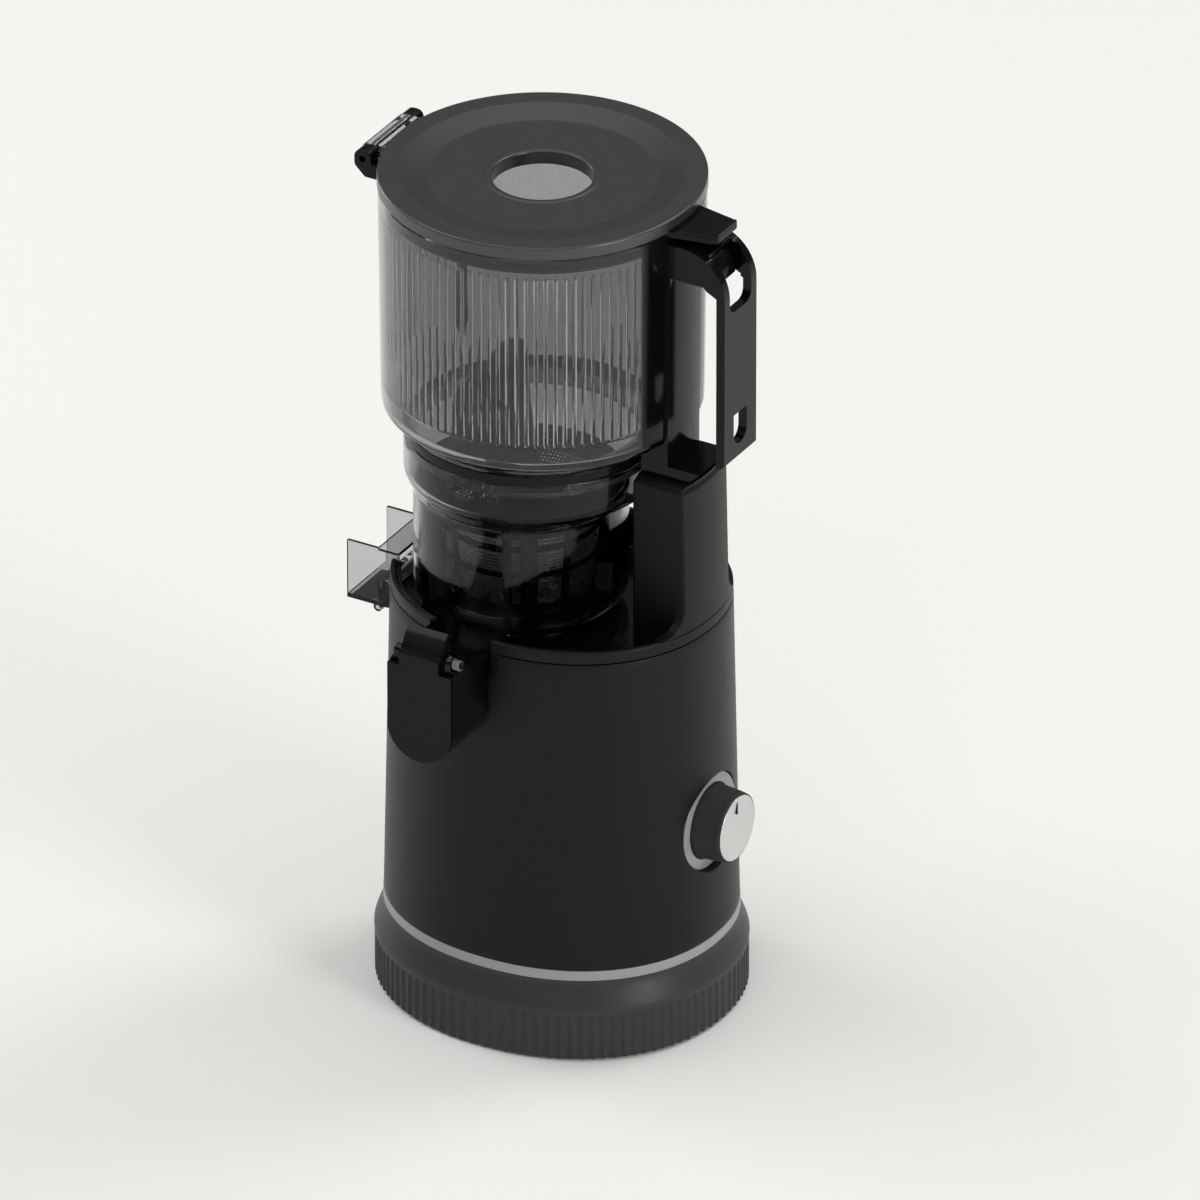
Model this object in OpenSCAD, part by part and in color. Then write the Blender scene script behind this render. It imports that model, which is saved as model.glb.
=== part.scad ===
// Cold press juicer: upright slow juicer with a drum, a filter set and a wide hopper.
// Front (juice spout) faces -Y, the control knob and the carry handle face +X,
// the lid hinge and the pulp chute face -X. The origin is on the table under the body axis.

/* [Foot] */
// Half length of the plinth along X
foot_hx = 102.2; // [100:0.5:110]
// Half length of the plinth along Y
foot_hy = 93.1; // [91:0.5:100]
// Height of the plinth
foot_h = 47.4; // [44:0.5:55]
// Height of the fluted band
flute_h = 29; // [20:1:32]
// Number of flutes round the plinth
flute_n = 102; // [72:2:120]
// Depth of a flute
flute_d = 1; // [0.6:0.1:1.4]
// Height of the pale trim ring
trim_h = 5.8; // [4:0.2:8]

/* [Casing] */
// Half length of the casing along X at its lower edge
body_hx = 97.2; // [96:0.2:99]
// Half length of the casing along Y at its lower edge
body_hy = 87; // [86:0.2:89]
// Height of the casing above the trim ring
casing_h = 193.8; // [186:0.2:205]
// Share of the width left at the rim
taper_share = 0.958; // [0.95:0.002:0.97]
// Wall of the casing
casing_t = 3.2; // [2.4:0.2:4]
// Height of the separate band at the rim
band_h = 7.4; // [5:0.2:9]
// Depth of the deck below the rim
deck_drop = 21; // [18:0.5:24]

/* [Column] */
// Height of the column above the rim
column_rise = 87; // [80:1:95]
// Width of the column along Y
column_w = 47.2; // [42:0.2:50]
// Thickness of the column along X
column_d = 31; // [29:0.2:31.6]

/* [Knob] */
// Height of the knob's centre
knob_z = 121; // [116:1:126]
// Outer radius of the flat bezel
bezel_r = 27.5; // [25:0.5:30]
// Radius of the knob at its root
knob_r = 21; // [18:0.5:22]
// Length of the knob
knob_l = 17.7; // [14:0.1:20]

/* [Drive] */
// Distance of the drum's axis from the body's axis
drum_dx = 25; // [24:0.2:26]
// Gear module
gear_m = 1.5; // [1.4:0.02:1.5]
// Teeth of each pinion
pinion_t = 12; // [12:1:12]
// Teeth of each big gear
wheel_t = 48; // [48:1:48]
// Radius of the motor can
motor_r = 36; // [34:0.5:37]
// Height of the motor can
motor_h = 88; // [80:1:90]
// Radius of the drive shaft
shaft_r = 6; // [5:0.2:7]

/* [Drum] */
// Outer radius of the drum
drum_r = 58; // [57.5:0.1:59]
// Wall of the drum
drum_t = 2.5; // [2:0.1:3]
// Height of the straight part of the drum
drum_h = 70; // [68:0.5:74]
// Radius of the drum's mouth
collar_r = 70; // [69.5:0.1:71]
// Height of the drum's mouth band
collar_h = 20; // [18:0.5:24]
// Width of the juice spout
spout_w = 39.2; // [36:0.2:40]
// Reach of the juice spout from the drum's axis
spout_reach = 121; // [116:0.5:126]
// Drop of the juice spout below its flat top
spout_drop = 57.5; // [50:0.5:62]
// Width of the pulp chute
chute_w = 44; // [38:0.5:48]
// Reach of the pulp chute from the body's axis
chute_reach = 116; // [112:0.5:122]

/* [Filter set] */
// Radius of the strainer at its top
strainer_r = 46; // [44:0.2:46.6]
// Height of the strainer
strainer_h = 60; // [56:0.5:62]
// Radius of the screw's flight
screw_r = 38; // [34:0.5:38.6]
// Height of the feed wing above the screw
wing_h = 85; // [70:1:90]

/* [Hopper] */
// Outer radius of the hopper at its top
hopper_r = 88; // [87.5:0.1:88.2]
// Height of the hopper's straight wall
hopper_h = 126.4; // [110:0.2:140]
// Wall of the hopper
hopper_t = 2.6; // [2.4:0.1:3]
// Number of ribs inside the hopper
rib_n = 104; // [80:2:120]
// Thickness of the lid's edge
lid_h = 7.3; // [6.5:0.1:9]
// Radius of the feed hole in the lid
feed_r = 27.1; // [22:0.1:32]

/* [Handle] */
// Reach of the handle's outer face from the body's axis
handle_reach = 110; // [106:0.5:118]
// Width of the handle along Y
handle_w = 34; // [30:0.5:36]
// Thickness of the handle's strap
strap_t = 5.2; // [4.5:0.1:6.5]

/* [Hidden] */
$fn = 64;
cut = 1;            // overrun of every cut
run_c = 0.3;        // gap between moving pieces
fit_c = 0.1;        // gap of a close fit
oval_n = 72;        // corners of an oval ring
oval_share = 2.13;  // power of the oval outline

// One corner of the body's oval outline
function oval_pt(a, hx, hy) = [
    hx * sign(cos(a)) * pow(abs(cos(a)), 2 / oval_share),
    hy * sign(sin(a)) * pow(abs(sin(a)), 2 / oval_share)];
function oval_pts(hx, hy) = [for (i = [0:oval_n - 1]) oval_pt(360 * (i + 0.5) / oval_n, hx, hy)];
function ring_o(z, hx, hy) = [for (p = oval_pts(hx, hy)) [p[0], p[1], z]];
function ring_c(z, cx, r) = [for (i = [0:oval_n - 1])
    [cx + r * cos(360 * i / oval_n), r * sin(360 * i / oval_n), z]];

// Closed skin through a stack of rings with equal corner counts
module loft(rings, tri = false) {
    n = len(rings[0]);
    m = len(rings);
    polyhedron([for (r = rings) for (p = r) p], concat(
        [[for (i = [0:n - 1]) i]],
        [[for (i = [n - 1:-1:0]) (m - 1) * n + i]],
        [for (k = [0:m - 2]) for (i = [0:n - 1]) let (a = k * n, b = a + n, j = (i + 1) % n)
            each tri ? [[a + i, b + i, b + j], [a + i, b + j, a + j]] : [[a + i, b + i, b + j, a + j]]]));
}
module box(x0, x1, y0, y1, z0, z1) translate([x0, y0, z0]) cube([x1 - x0, y1 - y0, z1 - z0]);
module rod_x(x0, x1, r) translate([x0, 0, 0]) rotate([0, 90, 0]) cylinder(h = x1 - x0, r = r);
module rod_y(y0, y1, r) translate([0, y0, 0]) rotate([-90, 0, 0]) cylinder(h = y1 - y0, r = r);
module tube(z0, z1, ro, ri) translate([0, 0, z0]) difference() {
    cylinder(h = z1 - z0, r = ro);
    translate([0, 0, -cut]) cylinder(h = z1 - z0 + 2 * cut, r = ri);
}
// Outline of a gear: pitch radius r, n teeth, addendum a, dedendum d, tooth share w at the pitch line
function gear_pts(r, n, a, d, w) = [for (i = [0:n - 1]) for (k = [0:5])
    let (p = 360 / n, rr = [r - d, r, r + a, r + a, r, r - d][k],
        s = [-w * 0.62, -w / 2, -w * 0.26, w * 0.26, w / 2, w * 0.62][k])
    [rr * cos(p * (i + s)), rr * sin(p * (i + s))]];

// Casing
casing_z0 = foot_h + trim_h;
rim_z = casing_z0 + casing_h;
deck_z = rim_z - deck_drop;
band_z = rim_z - band_h;
col_top = rim_z + column_rise;
function share_at(z) = 1 - (1 - taper_share) * (z - casing_z0) / casing_h;
function body_ring(z, g = 0) = ring_o(z, body_hx * share_at(z) - g, body_hy * share_at(z) - g);
drum_x = -drum_dx;
hub_c = 0.9;                      // gap between the casing and what passes its rim
spout_x = drum_x + 9;             // centre of the juice spout
spout_r = spout_w / 2;
spout_top = rim_z - 2;            // flat top of the spout
notch_z = deck_z + 2;             // lower edge of both rim notches
chute_y = -8;                     // centre of the pulp chute

// Foot
foot_z0 = 1.5;
foot_gap_h = 4;                   // thickness of the base plate
plate_z = 3;
plate_top = plate_z + foot_gap_h;
inner_hx = body_hx - casing_t - 2;
inner_hy = body_hy - casing_t - 2;
boss_r = 5;
base_screw_r = 1.9;
screw_head_r = 3.6;
screw_head_h = 1.6;
boss_h = 16;
rubber_r = 9;
rubber_stem_r = 4;
rubber_shares = [[0, 0], [0.6, 0.55], [-0.6, 0.55], [-0.6, -0.55], [0.6, -0.55]];
base_screw_n = 6;
function boss_at(i) = oval_pt(360 * (i + 0.5) / base_screw_n, inner_hx - 1.3 * boss_r, inner_hy - 1.3 * boss_r);
shoulder_shares = [[0, 0], [0.16, 0.05], [0.36, 0.22], [0.56, 0.52], [0.78, 0.84], [1, 1]];
trim_over = 0.4;                  // how far the plinth's top edge stands out of the trim ring
module foot_ring() {
    top_drop = foot_hx - body_hx - trim_over;
    color("#3a3a3b") difference() {
        union() {
            translate([0, 0, foot_z0]) linear_extrude(flute_h - foot_z0) polygon([
                for (i = [0:flute_n - 1]) for (k = [0:3])
                    let (g = run_c + flute_d * [0, 0.7, 1, 0.7][k], a = 360 * (i + k / 4) / flute_n)
                    oval_pt(a, foot_hx - g, foot_hy - g)]);
            loft([for (s = shoulder_shares) ring_o(flute_h + s[0] * (foot_h - flute_h),
                foot_hx - s[1] * top_drop, foot_hy - s[1] * top_drop)]);
        }
        loft([ring_o(foot_z0 - cut, inner_hx, inner_hy), ring_o(foot_h + cut, inner_hx, inner_hy)]);
    }
    color("#3a3a3b") for (i = [0:base_screw_n - 1]) translate([boss_at(i)[0], boss_at(i)[1], plate_top])
        difference() {
            union() {
                cylinder(h = boss_h, r = boss_r);
                rotate(boss_turn(i)) translate([0, -boss_r * 0.38, 0]) cube([1.7 * boss_r, boss_r * 0.76, boss_h]);
            }
            translate([0, 0, -cut]) cylinder(h = boss_h + 2 * cut, r = base_screw_r + fit_c);
        }
}
function boss_turn(i) = atan2(boss_at(i)[1], boss_at(i)[0]);
module base_plate() {
    color("#202022") difference() {
        loft([ring_o(plate_z, inner_hx - run_c, inner_hy - run_c),
            ring_o(plate_top, inner_hx - run_c, inner_hy - run_c)]);
        for (i = [0:base_screw_n - 1]) translate([boss_at(i)[0], boss_at(i)[1], plate_z - cut])
            cylinder(h = foot_gap_h + 2 * cut, r = base_screw_r + run_c);
        for (s = rubber_shares) translate([s[0] * foot_hx, s[1] * foot_hy, plate_z - cut])
            cylinder(h = foot_gap_h + 2 * cut, r = rubber_stem_r);
    }
}
module rubber_feet() color("#151515") for (s = rubber_shares)
    translate([s[0] * foot_hx, s[1] * foot_hy, 0]) {
        cylinder(h = plate_z, r = rubber_r);
        cylinder(h = plate_top, r = rubber_stem_r);
    }
module base_screws() color("silver") for (i = [0:base_screw_n - 1])
    translate([boss_at(i)[0], boss_at(i)[1], plate_z]) {
        translate([0, 0, -screw_head_h]) cylinder(h = screw_head_h, r = screw_head_r);
        cylinder(h = boss_h, r = base_screw_r);
    }
module trim_ring() color("#b4b4b2") difference() {
    loft([ring_o(foot_h, body_hx + trim_over / 2, body_hy + trim_over / 2),
        ring_o(casing_z0, body_hx + trim_over / 2, body_hy + trim_over / 2)]);
    loft([ring_o(foot_h - cut, inner_hx, inner_hy), ring_o(casing_z0 + cut, inner_hx, inner_hy)]);
}

// Knob
bezel_t = 1.2;
pocket_c = 0.4;
pocket_x = body_hx * share_at(knob_z) - 4.8;   // floor of the knob's pocket
pad_t = 3.2;
knob_bore = 3;
knob_hub_r = 7;
module knob_pad(g = 0) translate([0, 0, knob_z]) rod_x(pocket_x - pad_t, body_hx + cut, bezel_r + pad_t);
module knob_cuts() translate([0, 0, knob_z]) {
    rod_x(pocket_x, body_hx + 2 * cut, bezel_r + pocket_c);
    rod_x(pocket_x - pad_t - cut, pocket_x + cut, knob_hub_r + run_c);
}
inlet_w = 28;
inlet_h = 20;
inlet_d = 22;
inlet_z = casing_z0 + 26;
inlet_out = 1.2;
inlet_y = body_hy * share_at(inlet_z);
module notches() {
    box(spout_x - spout_r - hub_c, spout_x + spout_r + hub_c, -body_hy - cut, -drum_r * 0.45, notch_z, rim_z + cut);
    box(-body_hx - cut, drum_x - drum_r * 0.45, chute_y - chute_w / 2 - hub_c, chute_y + chute_w / 2 + hub_c,
        notch_z, rim_z + cut);
}
module body_housing() color("#0d0d0e") difference() {
    union() {
        difference() {
            loft([body_ring(casing_z0), body_ring(band_z)]);
            loft([body_ring(casing_z0 - cut, casing_t), body_ring(band_z + cut, casing_t)]);
        }
        intersection() {
            loft([body_ring(casing_z0), body_ring(band_z)]);
            knob_pad();
        }
    }
    notches();
    knob_cuts();
    box(-inlet_w / 2, inlet_w / 2, inlet_y - 3 * casing_t, inlet_y + cut, inlet_z, inlet_z + inlet_h);
}
module rim_band() color("#101011") difference() {
    loft([body_ring(band_z), body_ring(rim_z)]);
    loft([body_ring(band_z - cut, casing_t), body_ring(rim_z + cut, casing_t)]);
    notches();
}

// Deck: floor, inner wall up to the rim, seat ring of the drum and hub of the shaft seal
deck_t = 3;
deck_wall = 2.2;
seat_ro = 46;
seat_ri = 43;
drum_z0 = deck_z + 4;
hub_r = 15;
hub_drop = 9;
seal_r = 11;
seal_t = 6;
wire_r = 4;                       // hole for the wires that climb the column
module deck() color("#161617") difference() {
    union() {
        loft([body_ring(deck_z - deck_t, casing_t + fit_c), body_ring(deck_z, casing_t + fit_c)]);
        difference() {
            loft([body_ring(deck_z - deck_t, casing_t + fit_c), body_ring(rim_z - cut, casing_t + fit_c)]);
            loft([body_ring(deck_z, casing_t + deck_wall), body_ring(rim_z, casing_t + deck_wall)]);
        }
        translate([drum_x, 0, 0]) tube(deck_z - cut, drum_z0, seat_ro, seat_ri);
        translate([drum_x, 0, deck_z - deck_t - hub_drop]) cylinder(h = hub_drop + cut, r = hub_r);
    }
    notches();
    translate([drum_x, 0, deck_z - seal_t]) cylinder(h = seal_t + cut, r = seal_r);
    translate([drum_x, 0, deck_z - deck_t - hub_drop - cut])
        cylinder(h = deck_t + hub_drop + 2 * cut, r = shaft_r + 2 * run_c);
    translate([col_x0 + column_d / 3, 0, deck_z - deck_t - cut]) cylinder(h = deck_t + 2 * cut, r = wire_r);
}

// Column: its outer face runs on from the casing, its foot flares into the rim
col_skin = 5;
col_x1 = 88;
col_x0 = col_x1 - column_d;
col_fillet = 15;
col_wall = 3;
col_round = 5;
function arc_pts(cy, cz, r, a0, a1, n = 8) = [for (i = [0:n]) let (a = a0 + (a1 - a0) * i / n)
    [cy + r * cos(a), cz + r * sin(a)]];
function mirror_pts(p) = [for (i = [len(p) - 1:-1:0]) [-p[i][0], p[i][1]]];
function col_side(f) = let (w = column_w / 2) concat(
    arc_pts(w + f, rim_z + f, f, 270, 180),
    arc_pts(w - col_round, col_top - col_round, col_round, 0, 90));
module column_body(f, g) rotate([90, 0, 90]) linear_extrude(body_hx)
    polygon(concat(col_side(f), mirror_pts(col_side(f))));
module column_foot(g) intersection() {
    box(col_x0 + g, body_hx, g - column_w / 2, column_w / 2 - g, deck_z - (g > 0 ? cut : 0), rim_z + cut);
    loft([body_ring(deck_z - cut, casing_t + deck_wall + g), body_ring(rim_z + 2 * cut, casing_t + deck_wall + g)]);
}
module column() color("#0f0f10") difference() {
    union() {
    column_foot(0);
    intersection() {
        loft([body_ring(rim_z, 0), body_ring(col_top, 0)]);
        union() {
            intersection() {
                column_body(0.1 * cut, 0);
                box(col_x0, body_hx, -column_w, column_w, rim_z, col_top);
            }
            difference() {
                column_body(col_fillet, 0);
                loft([body_ring(rim_z - cut, col_skin), body_ring(col_top + cut, col_skin)]);
            }
        }
    }
    }
    column_foot(col_wall);
    intersection() {
        box(col_x0 + col_wall, body_hx, -column_w / 2 + col_wall, column_w / 2 - col_wall,
            rim_z - cut, col_top - col_wall);
        loft([body_ring(rim_z - cut, col_skin), body_ring(col_top, col_skin)]);
    }
}
module knob_bezel() color("#b9b9b7") translate([0, 0, knob_z]) difference() {
    rod_x(pocket_x, pocket_x + bezel_t, bezel_r);
    rod_x(pocket_x - cut, pocket_x + bezel_t + cut, knob_r + 2 * run_c);
}
knob_x0 = pocket_x + run_c;
knob_x1 = pocket_x + knob_l;
knob_front_r = knob_r - 1.7;
knurl_n = 60;
knurl_d = 0.5;
cap_t = 2.4;
cap_r = knob_front_r - 0.8;
cap_dish = 1.2;
module knob() color("#111112") translate([0, 0, knob_z]) difference() {
    union() {
        translate([knob_x0, 0, 0]) rotate([0, 90, 0]) linear_extrude(knob_l - run_c - cap_t)
            polygon([for (i = [0:knurl_n - 1]) for (k = [0, 1])
                let (a = 180 * (2 * i + k) / knurl_n, r = knob_r - k * knurl_d) [r * cos(a), r * sin(a)]]);
        rod_x(knob_x1 - cap_t - cut, knob_x1, knob_front_r);
        rod_x(pocket_x - 3 * pad_t, knob_x0 + cut, knob_hub_r);
    }
    rod_x(knob_x1 - cap_t, knob_x1 + cut, cap_r + fit_c / 2);
    rod_x(pocket_x - 3 * pad_t - cut, pocket_x, knob_bore);
}
module knob_cap() color("silver") translate([0, 0, knob_z]) difference() {
    rod_x(knob_x1 - cap_t, knob_x1 + cap_dish / 2, cap_r);
    translate([knob_x1 - cap_dish / 2, 0, 0]) rotate([0, 90, 0])
        cylinder(h = cap_dish + cut, r1 = knob_bore, r2 = cap_r);
}

// Motor, on the drum's axis
mount_h = 7;
mount_r = 7;
mount_share = 0.7;
mount_n = 3;
can_t = 2.5;
can_z0 = plate_top + mount_h;
can_z1 = can_z0 + motor_h;
bear_r = 9;
bear_h = 6;
bear_t = 3;
rotor_r = 4;                     // radius of the rotor's shaft
core_r = 20;
core_gap = 0.6;
core_h = motor_h * 0.5;
core_z = can_z0 + motor_h * 0.19;
fan_r = motor_r - can_t - 4;
fan_h = 8;
fan_n = 9;
fan_t = 1.2;
fan_z = core_z + core_h + 6;
cap_h = 3;
gear_z0 = can_z1 + cap_h;        // underside of the gearbox
module at_drum() translate([drum_x, 0, 0]) children();
module motor_mounts() color("#1a1a1a") at_drum() for (i = [0:mount_n - 1])
    rotate(360 * i / mount_n) translate([motor_r * mount_share, 0, plate_top])
        cylinder(h = mount_h, r = mount_r);
module motor_can() color("#8d9094") at_drum() {
    tube(can_z0 + can_t - cut, can_z1, motor_r, motor_r - can_t);
    tube(can_z0, can_z0 + can_t, motor_r, rotor_r + 2 * run_c);
    tube(can_z0 + can_t - cut / 2, can_z0 + can_t + bear_h, bear_r + bear_t, bear_r);
}
module motor_stator() color("#a8642c") at_drum()
    tube(core_z - bear_t, core_z + core_h + bear_t, motor_r - can_t, core_r + core_gap);
module motor_cap() color("#9a9da0") at_drum() {
    tube(can_z1, gear_z0, motor_r, bear_r);
    tube(can_z1 - bear_h + cap_h, can_z1 + cut, bear_r + bear_t, bear_r);
}
module motor_bearings() color("silver") at_drum()
    for (z = [can_z0 + can_t, gear_z0 - bear_h]) tube(z, z + bear_h, bear_r, rotor_r + fit_c / 2);
module rotor() color("#7a7d80") at_drum() tube(core_z, core_z + core_h, core_r, rotor_r);
module motor_fan() color("#202020") at_drum() {
    tube(fan_z, fan_z + fan_h, rotor_r + bear_t, rotor_r);
    tube(fan_z, fan_z + fan_t, fan_r, rotor_r + bear_t - cut / 2);
    for (i = [0:fan_n - 1]) rotate(360 * i / fan_n)
        box(rotor_r + bear_t - cut / 2, fan_r, -fan_t / 2, fan_t / 2, fan_z + fan_t / 2, fan_z + fan_h);
}

// Gearbox: two stages of four to one each
pin_r = gear_m * pinion_t / 2;
wheel_r = gear_m * wheel_t / 2;
lay_x = drum_x + pin_r + wheel_r;
gear_a = gear_m * 0.72;
gear_d = gear_m * 1.1;
tooth_share = 0.36;
case_t = 3;
case_c = 1.6;
case_ri = wheel_r + gear_a + case_c;
case_ro = case_ri + case_t;
gear_low_z = gear_z0 + case_t + 3;
gear_low_h = 12;
gear_top_z = gear_low_z + gear_low_h + 4;
gear_top_h = 18;
lid_z = gear_top_z + gear_top_h + 4;
lid_t = 3;
lay_r = 4;
bush_r = 7;
bush_h = 5;
lug_r = 5;
lug_h = 10;
nose_r = 14;
nose_bore = 11;
nose_top = deck_z - deck_t - hub_drop;
box_screw_r = 2;
lug_places = [[drum_x - case_ro - 2, 0], [lay_x + case_ro + 2, 0],
    [(drum_x + lay_x) / 2, case_ro - lug_r], [(drum_x + lay_x) / 2, lug_r - case_ro]];
module gear(x, r, n, z, h, bore, turn = 0) translate([x, 0, z]) difference() {
    rotate(turn) linear_extrude(h) polygon(gear_pts(r, n, gear_a, gear_d, tooth_share));
    translate([0, 0, -cut]) cylinder(h = h + 2 * cut, r = bore);
}
module case_plan(r, z0, z1) {
    for (x = [drum_x, lay_x]) translate([x, 0, z0]) cylinder(h = z1 - z0, r = r);
    if (r > case_ri) box(drum_x, lay_x, -r, r, z0, z1);
    for (p = lug_places) if (r > case_ri) translate([p[0], p[1], z1 - lug_h])
        cylinder(h = lug_h, r = lug_r);
}
module box_holes(z0, z1, r) for (p = lug_places)
    translate([p[0], p[1], z0]) cylinder(h = z1 - z0, r = r);
module gearbox_case() color("#b8babc") difference() {
    union() {
        difference() {
            case_plan(case_ro, gear_z0, lid_z);
            case_plan(case_ri, gear_z0 + case_t, lid_z + cut);
        }
        translate([lay_x, 0, 0]) cylinder_at(gear_z0, gear_low_z - 1, bush_r + bear_t);
    }
    at_drum() cylinder_at(gear_z0 - cut, gear_z0 + case_t + cut, rotor_r + 2 * run_c);
    translate([lay_x, 0, 0]) cylinder_at(gear_low_z - 1 - bush_h, gear_low_z, bush_r);
    box_holes(lid_z - lug_h, lid_z + cut, box_screw_r);
}
module cylinder_at(z0, z1, r) translate([0, 0, z0]) cylinder(h = z1 - z0, r = r);
module gearbox_lid() color("#b0b2b5") difference() {
    union() {
        intersection() {
            case_plan(case_ro, lid_z - lug_h, lid_z + lid_t);
            box(-foot_hx, foot_hx, -foot_hy, foot_hy, lid_z, lid_z + lid_t);
        }
        at_drum() cylinder_at(lid_z, nose_top, nose_r);
        translate([lay_x, 0, 0]) cylinder_at(lid_z, lid_z + bush_h, bush_r + bear_t);
    }
    at_drum() cylinder_at(lid_z - cut, nose_top + cut, nose_bore);
    translate([lay_x, 0, 0]) cylinder_at(lid_z - cut, lid_z + bush_h - 1, bush_r);
    box_holes(lid_z - cut, lid_z + lid_t + cut, box_screw_r);
}
module gearbox_screws() color("silver") for (p = lug_places) translate([p[0], p[1], 0]) {
    cylinder_at(lid_z + lid_t, lid_z + lid_t + box_screw_r, 2 * box_screw_r);
    cylinder_at(lid_z - lug_h, lid_z + lid_t, box_screw_r);
}
module rotor_shaft() color("#c0c2c4") {
    at_drum() cylinder_at(can_z0 + cut, gear_low_z + gear_low_h + 1, rotor_r);
    gear(drum_x, pin_r, pinion_t, gear_low_z - 1, gear_low_h + 2, rotor_r / 2);
}
module layshaft_wheel() color("#d8d2c0")
    gear(lay_x, wheel_r, wheel_t, gear_low_z, gear_low_h, lay_r, 180 / wheel_t);
module layshaft_pinion() color("#c0c2c4") {
    translate([lay_x, 0, 0]) cylinder_at(gear_low_z - 1 - bush_h, lid_z + bush_h - 2, lay_r);
    gear(lay_x, pin_r, pinion_t, gear_top_z - 1, gear_top_h + 2, lay_r / 2);
}
module output_wheel() color("#d8d2c0")
    gear(drum_x, wheel_r, wheel_t, gear_top_z, gear_top_h, shaft_r, 180 / wheel_t);
hex_r = shaft_r * 0.96;
hex_z0 = deck_z + 12;
shaft_top = deck_z + 40;
module drive_shaft() color("#c8cacc") at_drum() {
    cylinder_at(gear_top_z - 1, hex_z0, shaft_r);
    translate([0, 0, hex_z0 - cut]) cylinder(h = shaft_top - hex_z0 + cut, r = hex_r, $fn = 6);
}
out_bear_h = 10;
module shaft_bearings() color("silver") {
    at_drum() for (z = [lid_z, nose_top - out_bear_h])
        tube(z, z + out_bear_h, nose_bore, shaft_r + fit_c / 2);
    translate([lay_x, 0, 0]) for (z = [gear_low_z - 1 - bush_h, lid_z - 1])
        tube(z, z + bush_h, bush_r, lay_r + fit_c / 2);
}
module shaft_seal() color("#181818") at_drum() {
    tube(deck_z - seal_t, deck_z, seal_r, shaft_r + run_c);
    tube(deck_z - cut / 2, deck_z + cut, shaft_r + 1.6, shaft_r + fit_c / 2);
}

// Electrics
board_w = 70;
board_t = 1.6;
board_h = 62;
board_y = 58;
board_z = plate_top + 5;
module control_board() color("#1f5b34") {
    box(-board_w / 2, board_w / 2, board_y, board_y + board_t, board_z, board_z + board_h);
    for (s = [-1, 1]) translate([s * board_w * 0.42, 0, 0])
        box(-mount_r / 2, mount_r / 2, board_y - mount_h, board_y + cut / 2, plate_top, board_z + mount_h);
    translate([board_w * 0.3, board_y - mount_h, board_z + board_h * 0.5])
        rod_y(0, mount_h + cut / 2, mount_r);
    box(board_w * 0.02, board_w * 0.16, board_y - mount_h, board_y + cut / 2,
        board_z + board_h * 0.6, board_z + board_h * 0.9);
}
switch_w = 26;
switch_t = 12;
switch_x1 = pocket_x - 3 * pad_t - run_c;
module selector_switch() color("#e0ddd2") translate([0, 0, knob_z]) difference() {
    union() {
        box(switch_x1 - switch_t, switch_x1, -switch_w / 2, switch_w / 2, -switch_w / 2, switch_w / 2);
        for (sy = [-1, 1]) for (sz = [-1, 1]) translate([0, sy * switch_w * 0.4, sz * switch_w * 0.4])
            rod_x(switch_x1 - cut, pocket_x - pad_t, knob_bore);
    }
    rod_x(switch_x1 - switch_t + case_t, switch_x1 + cut, knob_bore + fit_c / 2);
}
module knob_shaft() color("silver") translate([0, 0, knob_z])
    rod_x(switch_x1 - switch_t + case_t + 1, pocket_x, knob_bore);
lock_w = 16;
lock_h = 14;
module interlock_switch() color("#2a2a2c") {
    box(col_x0 + col_wall, col_x0 + col_wall + lock_w, -lock_w / 2, lock_w / 2,
        col_top - col_wall - lock_h, col_top - col_wall);
    translate([col_x0 + col_wall + lock_w / 2, -lock_w / 2 - col_wall, col_top - col_wall - lock_h / 2])
        rod_y(0, lock_w + 2 * col_wall, box_screw_r);
}
blade_w = 2;
module power_inlet() color("#121212") {
    difference() {
        box(-inlet_w / 2, inlet_w / 2, inlet_y - inlet_d, inlet_y + inlet_out, inlet_z, inlet_z + inlet_h);
        box(-inlet_w / 2 + blade_w, inlet_w / 2 - blade_w, inlet_y - inlet_d + blade_w,
            inlet_y + inlet_out + cut, inlet_z + blade_w, inlet_z + inlet_h - blade_w);
    }
    for (s = [-1, 0, 1]) translate([s * inlet_w * 0.25, inlet_y - inlet_d, inlet_z + inlet_h / 2])
        rod_y(blade_w / 2, inlet_d * 0.7, blade_w);
}

// Drum: cup, flare, mouth band, juice spout and pulp chute
floor_t = 2.5;
drum_corner = 10;
drum_corner_in = 6;
drum_top = drum_z0 + drum_h;      // ledge that carries the filter set
flare_h = 14;
mouth_z = drum_top + flare_h + collar_h;
collar_dx = 8;
collar_x = drum_x + collar_dx;
drum_ri = drum_r - drum_t;
flare_shares = [[-0.3, -0.08], [0, 0.16], [0.3, 0.28], [0.5, 0.62], [0.75, 0.9], [1, 1]];
tube_ri = shaft_r + 2;
tube_ro = tube_ri + 2;
tube_h = 12;
spout_t = 2.2;
spout_in = spout_r - spout_t;
spout_zc = spout_top - spout_drop + spout_r;
spout_low = notch_z + hub_c;
pin_y = -spout_reach + 3.5;
pin_z = spout_top + 4.3;
hinge_r = 1.5;
knuckle_r = 3.6;
lug_x = spout_r - 5.6;
lug_t = 3.5;
chute_top = rim_z + 3;
chute_low = rim_z - 32;
chute_t = 2;
hood_x = -body_hx;
plug_x = -body_hx - 1.3;
plug_r = 2.6;
plug_pin_r = 1.2;
plug_z = chute_low - plug_r - run_c;
function drum_ring(s, g, dz = 0) = ring_c(drum_top + s[0] * flare_h + dz,
    drum_x + s[1] * collar_dx, drum_r + s[1] * (collar_r - drum_r) - g);
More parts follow.
